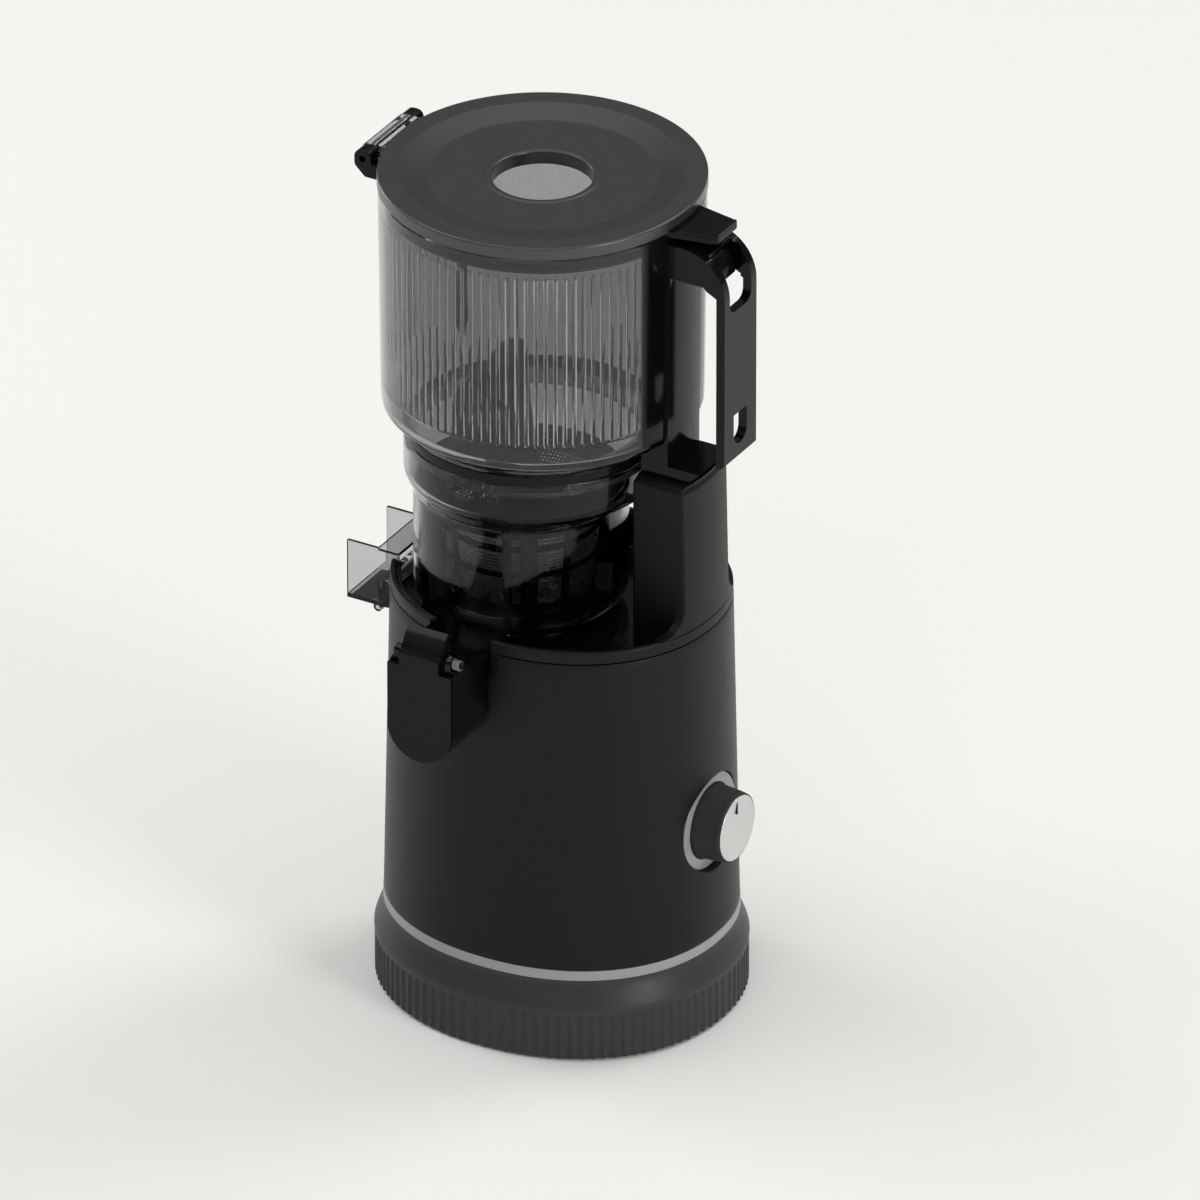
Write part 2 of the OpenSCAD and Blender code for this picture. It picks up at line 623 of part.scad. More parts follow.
module u_shape(y0, y1, r, top) {
    translate([spout_x, 0, spout_zc]) rod_y(y0, y1, r);
    box(spout_x - r, spout_x + r, y0, y1, spout_zc, top);
}
module body_skin(g) loft([body_ring(casing_z0, -g), body_ring(rim_z + flare_h, -g)]);
module spout_solid() {
    box(spout_x - spout_r, spout_x + spout_r, -spout_reach, -drum_ri * 0.62, spout_low, spout_top);
    difference() {
        u_shape(-spout_reach, -body_hy / 2, spout_r, spout_top - cut);
        body_skin(hub_c);
    }
    for (s = [-1, 1]) translate([spout_x + s * (lug_x + lug_t / 2) - lug_t / 2, 0, 0]) {
        box(0, lug_t, -spout_reach, pin_y + knuckle_r, spout_top - cut, pin_z);
        translate([0, pin_y, pin_z]) rod_x(0, lug_t, knuckle_r - run_c);
    }
}
module spout_cavity() {
    box(spout_x - spout_in, spout_x + spout_in, -spout_reach - cut, -drum_ri * 0.62,
        spout_low + spout_t, spout_top - spout_t);
    difference() {
        u_shape(-spout_reach - cut, -body_hy / 2, spout_in, spout_top - spout_t);
        body_skin(hub_c + spout_t);
    }
    translate([spout_x - spout_r - cut, pin_y, pin_z]) rod_x(0, spout_w + 2 * cut, hinge_r);
}
module chute_solid() {
    y0 = chute_y - chute_w / 2;
    y1 = chute_y + chute_w / 2;
    box(hood_x, drum_x - drum_ri * 0.9, y0, y1, spout_low, chute_top);
    difference() {
        box(-chute_reach, drum_x - drum_ri, y0, y1, chute_low, chute_top);
        body_skin(hub_c);
    }
    for (s = [-1, 1]) translate([plug_x, chute_y + s * chute_w * 0.4 - lug_t / 2, plug_z]) {
        rod_y(0, lug_t, plug_r);
        box(-plug_r, plug_r, 0, lug_t, 0, plug_r + run_c + cut);
    }
}
module chute_cavity() {
    y0 = chute_y - chute_w / 2 + chute_t;
    y1 = chute_y + chute_w / 2 - chute_t;
    box(hood_x - cut, drum_x - drum_ri * 0.8, y0, y1, spout_low + chute_t, chute_top - chute_t);
    difference() {
        box(-chute_reach - cut, hood_x, y0, y1, chute_low + chute_t, chute_top + cut);
        body_skin(hub_c + chute_t);
    }
    translate([plug_x, 0, plug_z]) rod_y(-body_hy / 2, body_hy / 2, plug_pin_r);
}
module drum() color([0.2, 0.2, 0.2, 0.5]) difference() {
    union() {
        at_drum() rotate_extrude() polygon(concat([[tube_ri, drum_z0]],
            arc_pts(drum_r - drum_corner, drum_z0 + drum_corner, drum_corner, -90, 0, 10),
            [[drum_r, drum_top - flare_h * 0.1], [tube_ri, drum_top - flare_h * 0.1]]));
        loft(concat([for (s = flare_shares) drum_ring(s, 0)],
            [drum_ring([1, 1], 0, collar_h)]));
        spout_solid();
        chute_solid();
    }
    at_drum() rotate_extrude() polygon(concat([[tube_ro, drum_z0 + floor_t]],
        arc_pts(drum_ri - drum_corner_in, drum_z0 + floor_t + drum_corner_in, drum_corner_in, -90, 0, 8),
        [[drum_ri, drum_top + cut], [0, drum_top + cut], [0, drum_z0 + tube_h], [tube_ro, drum_z0 + tube_h]]));
    loft(concat([drum_ring([0, 0.12], drum_t * 0.5)],
        [for (s = [flare_shares[2], flare_shares[3], flare_shares[4], flare_shares[5]])
            drum_ring(s, drum_t, 1)],
        [drum_ring([1, 1], drum_t, collar_h + cut)]));
    at_drum() cylinder_at(drum_z0 - cut, drum_top, tube_ri);
    spout_cavity();
    chute_cavity();
}
module drum_seal() color("#191919") at_drum()
    tube(drum_z0 + tube_h - 5, drum_z0 + tube_h - 1, tube_ri, shaft_r + 2 * run_c);

// Small gears that turn the brush basket the other way
idle_m = 1.5;
auger_t = 20;
idle_t = 12;
auger_gr = idle_m * auger_t / 2;
idle_gr = idle_m * idle_t / 2;
ring_t = auger_t + 2 * idle_t;
ring_gr = idle_m * ring_t / 2;
idle_x = auger_gr + idle_gr;
idle_a = idle_m * 0.7;
idle_d = idle_m * 1.1;
idle_z = drum_z0 + floor_t + 0.6;
idle_h = 5;
idle_pin_r = 2.5;
module idler_pins() color("silver") at_drum() for (s = [-1, 1])
    translate([0, s * idle_x, 0]) cylinder_at(drum_z0 + floor_t, idle_z + idle_h, idle_pin_r);
module idler(s) color("#d8d2c0") at_drum() translate([0, s * idle_x, idle_z]) difference() {
    rotate(s * 90 + 180 / idle_t) linear_extrude(idle_h)
        polygon(gear_pts(idle_gr, idle_t, idle_a, idle_d, tooth_share));
    translate([0, 0, -cut]) cylinder(h = idle_h + 2 * cut, r = idle_pin_r + fit_c / 2);
}
module idler_left() idler(-1);
module idler_right() idler(1);

// Flap that shuts the juice spout
flap_t = 3;
seal_d = 2.8;
flap_y = -spout_reach - run_c;
flap_top = spout_top - 1.4;
tab_w = 24;
tab_pts = [[flap_y - flap_t, flap_top - 6], [flap_y - flap_t, pin_z + 2], [flap_y - 0.2, pin_z + 5.4],
    [pin_y - 0.6, pin_z + 11], [pin_y + 4.2, pin_z + 14.4], [pin_y + 7.2, pin_z + 12.6],
    [pin_y + 2.6, pin_z + 7.4], [pin_y + 0.8, pin_z + 3], [pin_y, pin_z], [pin_y, spout_top + 2 * run_c],
    [flap_y, spout_top + 2 * run_c], [flap_y, flap_top - 6]];
module spout_flap() color("#0f0f10") {
    difference() {
        union() {
            u_shape(flap_y - flap_t, flap_y, spout_r, flap_top);
            translate([spout_x - tab_w / 2, 0, 0]) rotate([90, 0, 90]) linear_extrude(tab_w)
                polygon(tab_pts);
            translate([spout_x - tab_w / 2, pin_y, pin_z]) rod_x(0, tab_w, knuckle_r);
        }
        translate([spout_x - tab_w, pin_y, pin_z]) rod_x(0, 2 * tab_w, hinge_r + fit_c / 2);
    }
}
module flap_seal() color("#232325")
    u_shape(flap_y + fit_c / 2, flap_y + seal_d, spout_in - 2 * run_c, spout_top - spout_t - 4 * run_c);
module flap_pin() color("silver") translate([spout_x, pin_y, pin_z])
    rod_x(-lug_x - lug_t, lug_x + lug_t + 5 + hinge_r, hinge_r);
coil_r = 2.6;
coil_wire = 0.45;
coil_n = 4;
coil_step = 14;
function coil_at(i) = [coil_wire + i * 4.4 / (coil_n * coil_step), coil_r * cos(360 * i / coil_step),
    coil_r * sin(360 * i / coil_step)];
module flap_spring() color("silver") translate([spout_x + lug_x + lug_t, pin_y, pin_z]) {
    m = coil_n * coil_step;
    polyhedron([for (i = [0:m]) for (k = [0:5]) let (p = coil_at(i), a = 360 * i / coil_step, b = 60 * k)
        [p[0] + coil_wire * sin(b), p[1] + coil_wire * cos(b) * cos(a), p[2] + coil_wire * cos(b) * sin(a)]],
        concat([[for (k = [0:5]) k]], [[for (k = [5:-1:0]) m * 6 + k]],
        [for (i = [0:m - 1]) for (k = [0:5]) let (j = (k + 1) % 6)
            [i * 6 + k, (i + 1) * 6 + k, (i + 1) * 6 + j, i * 6 + j]]));
}

// Plug lever under the pulp chute
plug_w = chute_w * 0.7;
plug_t = 2.4;
module pulp_plug() color("#161617") difference() {
    union() {
        box(-chute_reach, plug_x, chute_y - plug_w / 2, chute_y + plug_w / 2,
            plug_z - plug_t / 2, plug_z + plug_t / 2);
        translate([plug_x, chute_y - plug_w / 2, plug_z]) rod_y(0, plug_w, plug_r - run_c);
    }
    translate([plug_x, chute_y - plug_w, plug_z]) rod_y(0, 2 * plug_w, plug_pin_r + fit_c / 2);
}
module plug_pin() color("silver") translate([plug_x, chute_y, plug_z])
    rod_y(-chute_w * 0.4 - lug_t / 2, chute_w * 0.4 + lug_t / 2, plug_pin_r);

// Filter set: strainer with its flange, brush basket and auger
str_z0 = drum_z0 + 10;
str_top = str_z0 + strainer_h;
str_low_r = strainer_r - 6;
str_t = 1.2;
flange_t = 3;
flange_r = drum_r - 1.2;
str_hole = auger_gr - 0.4;
bar_n = 8;
bar_w = 5;
function str_r(z) = str_low_r + (strainer_r - str_low_r) * (z - str_z0) / strainer_h;
module str_cone(z0, z1, g) translate([0, 0, z0]) cylinder(h = z1 - z0, r1 = str_r(z0) - g, r2 = str_r(z1) - g);
module strainer_frame() color("#1b1b1d") at_drum() {
    tube(str_z0, str_z0 + floor_t, str_low_r, str_hole);
    tube(drum_top, drum_top + flange_t, flange_r, strainer_r - str_t);
    difference() {
        intersection() {
            str_cone(str_z0, drum_top + cut / 2, 0);
            union() {
                for (i = [0:bar_n / 2 - 1]) rotate(180 * i / bar_n * 2 + 20)
                    box(-drum_r, drum_r, -bar_w / 2, bar_w / 2, str_z0, drum_top + cut);
                for (s = [0, 0.34, 0.62, 0.92]) box(-drum_r, drum_r, -drum_r, drum_r,
                    str_z0 + s * strainer_h, str_z0 + s * strainer_h + bar_w * 0.8);
            }
        }
        str_cone(str_z0 - cut, drum_top + 2 * cut, str_t / 2);
    }
}
module strainer_mesh() color("#8a8c8e") at_drum() difference() {
    str_cone(str_z0 + floor_t, drum_top, str_t / 2);
    str_cone(str_z0, drum_top + cut, str_t);
}
arm_ro = drum_ri - 2.2;
arm_ri = arm_ro - 3.3;
arm_w = 9;
arm_n = 4;
arm_z = idle_z + 1.2;
arm_top = drum_top - 6;
module brush_frame() color("#202022") at_drum() {
    difference() {
        cylinder_at(idle_z, idle_z + idle_h, ring_gr + 5);
        translate([0, 0, idle_z - cut]) rotate(180 / ring_t) linear_extrude(idle_h + 2 * cut)
            polygon(gear_pts(ring_gr, ring_t, idle_d, idle_a, 1 - tooth_share));
    }
    tube(arm_z, arm_z + 1.8, arm_ro, ring_gr + 4);
    tube(arm_top - flange_t, arm_top, arm_ro, arm_ri);
    intersection() {
        tube(arm_z, arm_top, arm_ro, arm_ri);
        for (i = [0:arm_n / 2 - 1]) rotate(180 * i / arm_n * 2 + 35)
            box(-drum_r, drum_r, -arm_w / 2, arm_w / 2, arm_z, arm_top);
    }
}
wipe_t = 1.6;
wipe_z0 = str_z0 + 5;
wipe_z1 = arm_top - 6;
module brush_wipers() color("#3a3a3c") at_drum() for (i = [0:arm_n - 1])
    rotate(360 * i / arm_n + 35) translate([0, wipe_t / 2, 0]) rotate([90, 0, 0])
        linear_extrude(wipe_t) polygon([[str_r(wipe_z0) + run_c, wipe_z0], [arm_ri, wipe_z0],
            [arm_ri, wipe_z1], [str_r(wipe_z1) + run_c, wipe_z1]]);
neck_r = auger_gr - idle_d - 0.2;
bush_ro = shaft_r + 3;
bush_z = drum_z0 + tube_h + 4;
bush_top = shaft_top + 6;
core_r1 = 20;
core_r2 = 11;
flight_t = 5;
flight_turn = 420;
wing_turn = 210;
wing_t = 6;
wing_top = drum_top + wing_h;
flight_n = 42;
function screw_ring(s) = let (rc = core_r1 + (core_r2 - core_r1) * s, a0 = asin(flight_t / 2 / rc),
    a1 = asin(flight_t / 2 / screw_r), turn = wing_turn - flight_turn * (1 - s),
    z = str_z0 + floor_t + 0.7 + s * (drum_top - str_z0 - floor_t))
    [for (h = [0, 180]) for (p = concat([[screw_r, -a1], [screw_r, a1]],
        [for (k = [0:10]) [rc, a0 + (180 - 2 * a0) * k / 10]]))
        [p[0] * cos(p[1] + h + turn), p[0] * sin(p[1] + h + turn), z]];
function neck_ring(z) = [for (p = screw_ring(0)) let (r = norm([p[0], p[1]])) [p[0] / r * neck_r, p[1] / r * neck_r, z]];
module auger() {
    $fn = 36;
    color("#161618") at_drum() difference() {
    union() {
        translate([0, 0, idle_z]) rotate(90) linear_extrude(idle_h)
            polygon(gear_pts(auger_gr, auger_t, idle_a, idle_d, tooth_share));
        loft(concat([neck_ring(idle_z + cut), neck_ring(str_z0 + floor_t + run_c)],
            [for (i = [0:flight_n]) screw_ring(i / flight_n)]), tri = true);
        translate([0, 0, drum_top - 2 * cut]) cylinder(h = wing_h * 0.8, r1 = core_r2 - 2, r2 = wing_t / 2 + 1);
        rotate(wing_turn) translate([0, wing_t / 2, drum_top - cut]) rotate([90, 0, 0])
            linear_extrude(wing_t) polygon([[2 - core_r2, 0], [screw_r - 1, 0], [screw_r - 1, wing_h * 0.62],
                [wing_t, wing_h], [-wing_t / 2, wing_h]]);
    }
    cylinder_at(idle_z - cut, bush_z - cut, tube_ro + run_c);
    cylinder_at(bush_z - 2 * cut, bush_top, bush_ro);
}
}
module auger_bush() color("#b5b7ba") at_drum() difference() {
    cylinder_at(bush_z - cut, bush_top, bush_ro);
    translate([0, 0, bush_z - 2 * cut]) cylinder(h = shaft_top - bush_z + 4 * cut, r = hex_r + run_c, $fn = 6);
}

// Hopper: ribbed wall, cone and spigot
hopper_x = drum_x + 13.5;
hopper_low_r = hopper_r - 1.4;
hopper_ri = hopper_low_r - hopper_t;
lock_h2 = 5.7;
spigot_h = 8;
cone_z0 = mouth_z + run_c + lock_h2;
cone_h = 16;
cone_z1 = cone_z0 + cone_h;
hopper_top = cone_z1 + hopper_h;
neck_ri = collar_r - 8.4;
neck_x = drum_x + 4;
spigot_r = collar_r - drum_t - 0.7;
rib_z0 = cone_z1 + 11;
rib_z1 = hopper_top - 12;
rib_d = 0.9;
rib_share = 0.24;
rib_ri = hopper_ri - 2 * fit_c;       // radius between the ribs
low_ri = rib_ri - rib_d - 2 * fit_c;  // radius below the ribs
lid_c = 0.3;
lid_r = hopper_r + lid_c;
lid_bottom = hopper_top + lid_c;
lid_top = lid_bottom + lid_h;
hinge_x = hopper_x - hopper_r - 6.8;
hinge_z = hopper_top + 1.6;
barrel_r = 5.4;
lug_y0 = 20;
lug_y1 = 28;
hinge_pin_r = 2;
leaf_y = lug_y0 - run_c;
module at_hopper() translate([hopper_x, 0, 0]) children();
module hopper_outside() {
    at_hopper() translate([0, 0, cone_z1]) cylinder(h = hopper_h, r1 = hopper_low_r, r2 = hopper_r, $fn = 128);
    loft([ring_c(cone_z0, collar_x, collar_r), ring_c(cone_z1, hopper_x, hopper_low_r - run_c)]);
}
module hopper() color([0.25, 0.25, 0.25, 0.5]) difference() {
    union() {
        hopper_outside();
        translate([collar_x, 0, 0]) cylinder_at(mouth_z - spigot_h, cone_z0 + cut / 2, spigot_r);
        for (s = [-1, 1]) translate([0, s * (lug_y0 + lug_y1) / 2 - (lug_y1 - lug_y0) / 2, 0]) {
            box(hinge_x, hinge_x + 2 * barrel_r + 1.2, 0, lug_y1 - lug_y0, hinge_z - 2 * barrel_r, hopper_top - 1);
            box(hinge_x, hinge_x + barrel_r - cut, 0, lug_y1 - lug_y0, hinge_z - 2 * barrel_r, hinge_z);
            translate([hinge_x, 0, hinge_z]) rod_y(0, lug_y1 - lug_y0, barrel_r);
        }
    }
    loft([ring_c(mouth_z - spigot_h - cut, neck_x, neck_ri), ring_c(cone_z0 - 2, neck_x, neck_ri),
        ring_c(cone_z1 + 2, hopper_x, low_ri), ring_c(rib_z0 + cut, hopper_x, low_ri)]);
    at_hopper() translate([0, 0, rib_z0]) linear_extrude(rib_z1 - rib_z0) polygon([
        for (i = [0:rib_n - 1]) for (k = [0:3]) let (
            a = 360 / rib_n * (i + [rib_share / 2, 1 - rib_share / 2, 1 - rib_share / 4, 1 + rib_share / 4][k]),
            r = rib_ri - (k < 2 ? 0 : rib_d)) [r * cos(a), r * sin(a)]]);
    at_hopper() cylinder_at(rib_z1 - cut / 2, hopper_top + cut, hopper_ri);
    translate([hinge_x, 0, hinge_z]) rod_y(-lug_y1 - cut, 0, hinge_pin_r);
    translate([hinge_x, 0, hinge_z]) rod_y(0, lug_y1 + cut, hinge_pin_r);
}
module hinge_pin() color("silver") translate([hinge_x, 0, hinge_z]) rod_y(-lug_y1, lug_y1, hinge_pin_r);
module lock_ring() color("#0c0c0c") translate([collar_x, 0, 0])
    tube(mouth_z + run_c, cone_z0, collar_r, spigot_r);
fin_t = 2.4;
fin_turn = 360 / rib_n * 44.5;
fin_in = hopper_ri - 12;
module guide_fin() color("#141414") at_hopper() rotate(fin_turn) translate([0, fin_t / 2, 0])
    rotate([90, 0, 0]) linear_extrude(fin_t) polygon([[fin_in + 5, cone_z1 - 1.5], [low_ri - fit_c, cone_z1 + 3.5],
        [low_ri - fit_c, rib_z1], [hopper_ri - 5, rib_z1], [fin_in + 3, rib_z0 + 30], [fin_in + 2, rib_z0]]);

// Lid
skirt_h = 10;
skirt_r = hopper_ri - 0.8;
skirt_t = 2.2;
dish_r1 = 75.8 / 88.3 * lid_r;
dish_r2 = 61.4 / 88.3 * lid_r;
dish_d = 3.4;
lid_plate = 3;
lip_h = 7.7;
lip_t = 2.2;
tab_z = lid_bottom + 1.8;
tab_t = 4.3;
tab_reach = handle_reach - 8;
tab_y0 = handle_w / 2;
tab_y1 = handle_w / 2 - 4.5;
module lid() color("#303031") difference() {
    union() {
        at_hopper() rotate_extrude($fn = 128) polygon([[lid_r, lid_bottom], [lid_r, lid_top - 0.8],
            [lid_r - 0.8, lid_top], [dish_r1, lid_top], [dish_r2, lid_top - dish_d],
            [feed_r + lip_t, lid_top - dish_d], [feed_r + lip_t / 2, lid_top - dish_d + 0.6],
            [feed_r, lid_top - dish_d], [feed_r, lid_top - dish_d - lip_h],
            [feed_r + lip_t, lid_top - dish_d - lip_h], [feed_r + lip_t, lid_top - dish_d - lid_plate],
            [dish_r2, lid_top - dish_d - lid_plate], [dish_r1, lid_top - lid_plate - 0.5],
            [skirt_r - skirt_t, lid_top - lid_plate - 0.5], [skirt_r - skirt_t, lid_bottom - skirt_h],
            [skirt_r, lid_bottom - skirt_h], [skirt_r, lid_bottom]]);
        difference() {
            union() {
                translate([0, 0, tab_z - tab_t]) linear_extrude(tab_t) polygon([[hopper_x + skirt_r - 4, -tab_y0],
                    [tab_reach - 3, -tab_y1], [tab_reach, -tab_y1 + 3], [tab_reach, tab_y1 - 3],
                    [tab_reach - 3, tab_y1], [hopper_x + skirt_r - 4, tab_y0]]);
                box(tab_reach - 2.5, tab_reach, 3 - tab_y1, tab_y1 - 3, tab_z - cut, tab_z + 1.6);
            }
            at_hopper() cylinder_at(lid_bottom - skirt_h, lid_bottom, lid_r);
            at_hopper() cylinder_at(lid_bottom - skirt_h, lid_top, lid_r - 2);
        }
        difference() {
            union() {
                translate([hinge_x, 0, hinge_z]) rod_y(-leaf_y, leaf_y, barrel_r);
                box(hinge_x, hopper_x - lid_r * 0.94, -leaf_y, leaf_y, lid_bottom + 0.8, hinge_z + barrel_r);
            }
            at_hopper() cylinder_at(lid_bottom - skirt_h, lid_top, lid_r - 2);
        }
    }
    translate([hinge_x, 0, hinge_z]) rod_y(-lug_y1, lug_y1, hinge_pin_r + fit_c / 2);
}
module lid_gasket() color("#3c3c3e") at_hopper()
    tube(lid_bottom - skirt_h + 2, lid_bottom - skirt_h + 5, hopper_ri - fit_c, skirt_r);

// Handle
foot_z = col_top + run_c;
hole_z0 = foot_z + 7.2;
strap_x = handle_reach - strap_t;
strap_low = foot_z + 14.7;
bend_r = 26;
bend_z = hopper_top - 32.4;
hand_top = bend_z + bend_r;
grip_x = hopper_x + hopper_r + 0.5;
hole_r = 10;
cheek_t = 4;
web_z = hand_top - 23;
window_w = 23;
window_z = hand_top - 36;
slot_w = 14;
slot_z = strap_low + 9.3;
slot_h = 12;
spine_t = 1.7;
latch_x = handle_reach - 21;
latch_z = hand_top - 12;
latch_pin_r = 1.5;
latch_w = 19;
foot_x0 = col_x0 + 2;
module hand_side(y, p) translate([0, y, 0]) rotate([90, 0, 0]) linear_extrude(2 * y) polygon(p);
module handle() color("#0b0b0c") difference() {
    union() {
        difference() {
            hand_side(handle_w / 2, concat(
                [[hopper_x + hopper_ri, hand_top], [hopper_x + hopper_ri, foot_z + 20], [foot_x0, foot_z + 8],
                 [foot_x0, foot_z], [col_x1 - 1, foot_z], [strap_x - 4, strap_low - 2],
                 [handle_reach - 2, strap_low], [handle_reach, strap_low + 2]],
                arc_pts(handle_reach - bend_r, bend_z, bend_r, 0, 90, 12)));
            hand_side(handle_w, concat([[grip_x - 5.4, hole_z0]],
                arc_pts(strap_x - hole_r, hole_z0 + hole_r, hole_r, -90, 0, 8),
                [[strap_x, web_z - 2], [strap_x - 6, web_z + 1], [strap_x - 8, web_z + 3],
                 [grip_x, web_z + 3], [grip_x - 5.4, web_z - 60]]));
            box(grip_x, strap_x - 1, cheek_t - handle_w / 2, handle_w / 2 - cheek_t, web_z - cut, hand_top - strap_t);
        }
        intersection() {
            at_hopper() {
                translate([0, 0, foot_z + 20]) cylinder(h = hand_top - foot_z - 20,
                    r1 = hopper_low_r + spine_t, r2 = hopper_r + spine_t, $fn = 128);
                cylinder_at(foot_z, foot_z + 20 + cut, hopper_low_r + spine_t);
            }
            box(foot_x0, handle_reach, -handle_w / 2, handle_w / 2, foot_z, hand_top);
        }
    }
    hopper_outside();
    box(strap_x - 8, handle_reach + cut, -window_w / 2, window_w / 2, window_z + window_w / 4, hand_top + cut);
    translate([0, 0, window_z + window_w / 4]) for (s = [-1, 1]) translate([0, s * window_w / 4, 0])
        rod_x(strap_x - cut, handle_reach + cut, window_w / 4);
    box(strap_x - cut, handle_reach + cut, -window_w / 4, window_w / 4, window_z, hand_top);
    box(strap_x - cut, handle_reach + cut, -slot_w / 2, slot_w / 2, slot_z + slot_w / 2, slot_z + slot_w / 2 + slot_h);
    translate([0, 0, slot_z + slot_w / 2]) rod_x(strap_x - cut, handle_reach + cut, slot_w / 2);
    translate([latch_x, 0, latch_z]) rod_y(cheek_t / 2 - handle_w / 2, handle_w / 2 - cheek_t / 2, latch_pin_r);
}
module latch_lever() color("#101011") difference() {
    hand_side(latch_w / 2, [[latch_x - 6, latch_z + 4], [latch_x + 3, latch_z + 5.6], [latch_x + 8, latch_z + 3],
        [latch_x + 12, latch_z - 4], [latch_x + 12.4, latch_z - 9], [latch_x + 9.5, latch_z - 12.6],
        [latch_x + 6, latch_z - 11], [latch_x + 4.5, latch_z - 6], [latch_x - 1, latch_z - 4], [latch_x - 6, latch_z - 3]]);
    translate([latch_x, 0, latch_z]) rod_y(-handle_w, handle_w, latch_pin_r + fit_c / 2);
}
module latch_pin() color("silver") translate([latch_x, 0, latch_z])
    rod_y(cheek_t / 2 - handle_w / 2, handle_w / 2 - cheek_t / 2, latch_pin_r);

foot_ring();
base_plate();
rubber_feet();
base_screws();
trim_ring();
body_housing();
rim_band();
deck();
column();
knob_bezel();
knob();
knob_cap();
motor_can();
motor_stator();
motor_cap();
motor_mounts();
motor_bearings();
rotor();
motor_fan();
rotor_shaft();
gearbox_case();
gearbox_lid();
gearbox_screws();
layshaft_wheel();
layshaft_pinion();
output_wheel();
drive_shaft();
shaft_bearings();
shaft_seal();
control_board();
selector_switch();
interlock_switch();
power_inlet();
drum();
idler_pins();
idler_left();
idler_right();
spout_flap();
flap_seal();
flap_pin();
flap_spring();
pulp_plug();
plug_pin();
strainer_frame();
strainer_mesh();
brush_frame();
brush_wipers();
auger();
auger_bush();
hopper();
lock_ring();
guide_fin();
lid();
lid_gasket();
hinge_pin();
handle();
latch_lever();
latch_pin();
knob_shaft();
drum_seal();
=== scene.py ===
"""Cold press juicer: the outer surfaces and finishes of the machine.

Every length inside the shape functions is in millimetres, in the frame of the
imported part; meshes are written in metres.
"""
import math

import bmesh
import bpy
import numpy as np
from bpy.props import FloatProperty, FloatVectorProperty, IntProperty, PointerProperty
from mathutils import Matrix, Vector


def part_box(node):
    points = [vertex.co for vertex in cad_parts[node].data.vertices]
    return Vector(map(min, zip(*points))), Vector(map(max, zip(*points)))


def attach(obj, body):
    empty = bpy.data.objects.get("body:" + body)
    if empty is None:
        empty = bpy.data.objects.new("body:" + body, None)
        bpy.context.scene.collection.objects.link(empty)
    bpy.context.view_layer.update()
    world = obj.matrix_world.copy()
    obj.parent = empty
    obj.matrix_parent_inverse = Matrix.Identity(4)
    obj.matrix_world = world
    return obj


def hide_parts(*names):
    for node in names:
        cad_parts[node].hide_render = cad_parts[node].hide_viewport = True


bl_info = {
    "name": "Cold press juicer",
    "version": (1, 0, 0),
    "blender": (4, 5, 0),
    "location": "3D View > Sidebar > Juicer",
    "description": "Builds the outer surfaces, finishes, floor, light and camera of an upright juicer",
    "category": "Add Mesh",
}

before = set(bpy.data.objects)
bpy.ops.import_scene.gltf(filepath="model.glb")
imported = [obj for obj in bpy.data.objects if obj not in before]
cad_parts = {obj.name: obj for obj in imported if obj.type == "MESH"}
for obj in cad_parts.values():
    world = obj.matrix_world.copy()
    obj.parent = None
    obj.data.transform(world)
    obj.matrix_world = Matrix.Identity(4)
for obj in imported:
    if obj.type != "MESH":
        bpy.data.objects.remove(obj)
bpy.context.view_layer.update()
MM = 0.001
WELD = 0.00002  # Corners nearer than this many metres are one.
COPY_SHARP = 38  # Degrees past which an edge of a copied construction node is rounded.


def node_box(node):
    """Lowest and highest corner of a construction node, in millimetres."""
    low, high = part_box(node)
    return np.array(low) / MM, np.array(high) / MM


def body_sizes():
    """Half lengths of the casing's lower edge and the heights that the outer shells share."""
    casing, foot, band, trim = (node_box(n) for n in ("body_housing", "foot_ring", "rim_band", "trim_ring"))
    return {"hx": casing[1][0], "hy": casing[1][1], "z0": casing[0][2], "z1": casing[1][2],
            "rim": band[1][2], "band": band[0][2], "fx": foot[1][0], "fy": foot[1][1],
            "f0": foot[0][2], "f1": foot[1][2], "t0": trim[0][2], "t1": trim[1][2]}


BODY = body_sizes()


def length(name, description, default):
    """A length property in metres."""
    return FloatProperty(name=name, description=description, default=default, unit="LENGTH", subtype="DISTANCE")


def tint(name, description, default):
    """A colour property."""
    return FloatVectorProperty(name=name, description=description, default=default, size=3, subtype="COLOR",
                               min=0, max=1)


class JuicerSizes(bpy.types.PropertyGroup):
    """Sizes of the surfaces that the construction leaves plain."""
    flute_count: IntProperty(name="Flutes", description="Number of flutes round the plinth", default=102,
                             min=40, max=160)
    flute_top: length("Flute top", "Height of the flutes' rounded tops", 0.029)
    flute_depth: length("Flute depth", "Depth of a flute", 0.001)
    taper: FloatProperty(name="Taper", description="Share of the casing's width left at the rim",
                         default=0.958, min=0.9, max=1.0, subtype="FACTOR")
    oval_power: FloatProperty(name="Oval power", description="Power of the superellipse of the casing's plan",
                              default=2.13, min=2.0, max=4.0)
    rib_count: IntProperty(name="Hopper ribs", description="Number of ribs inside the hopper", default=104,
                           min=40, max=160)
    rib_depth: length("Rib depth", "How far a rib stands out of the hopper's wall", 0.0009)
    fillet: length("Column fillet", "Radius where the column flares into the rim", 0.015)


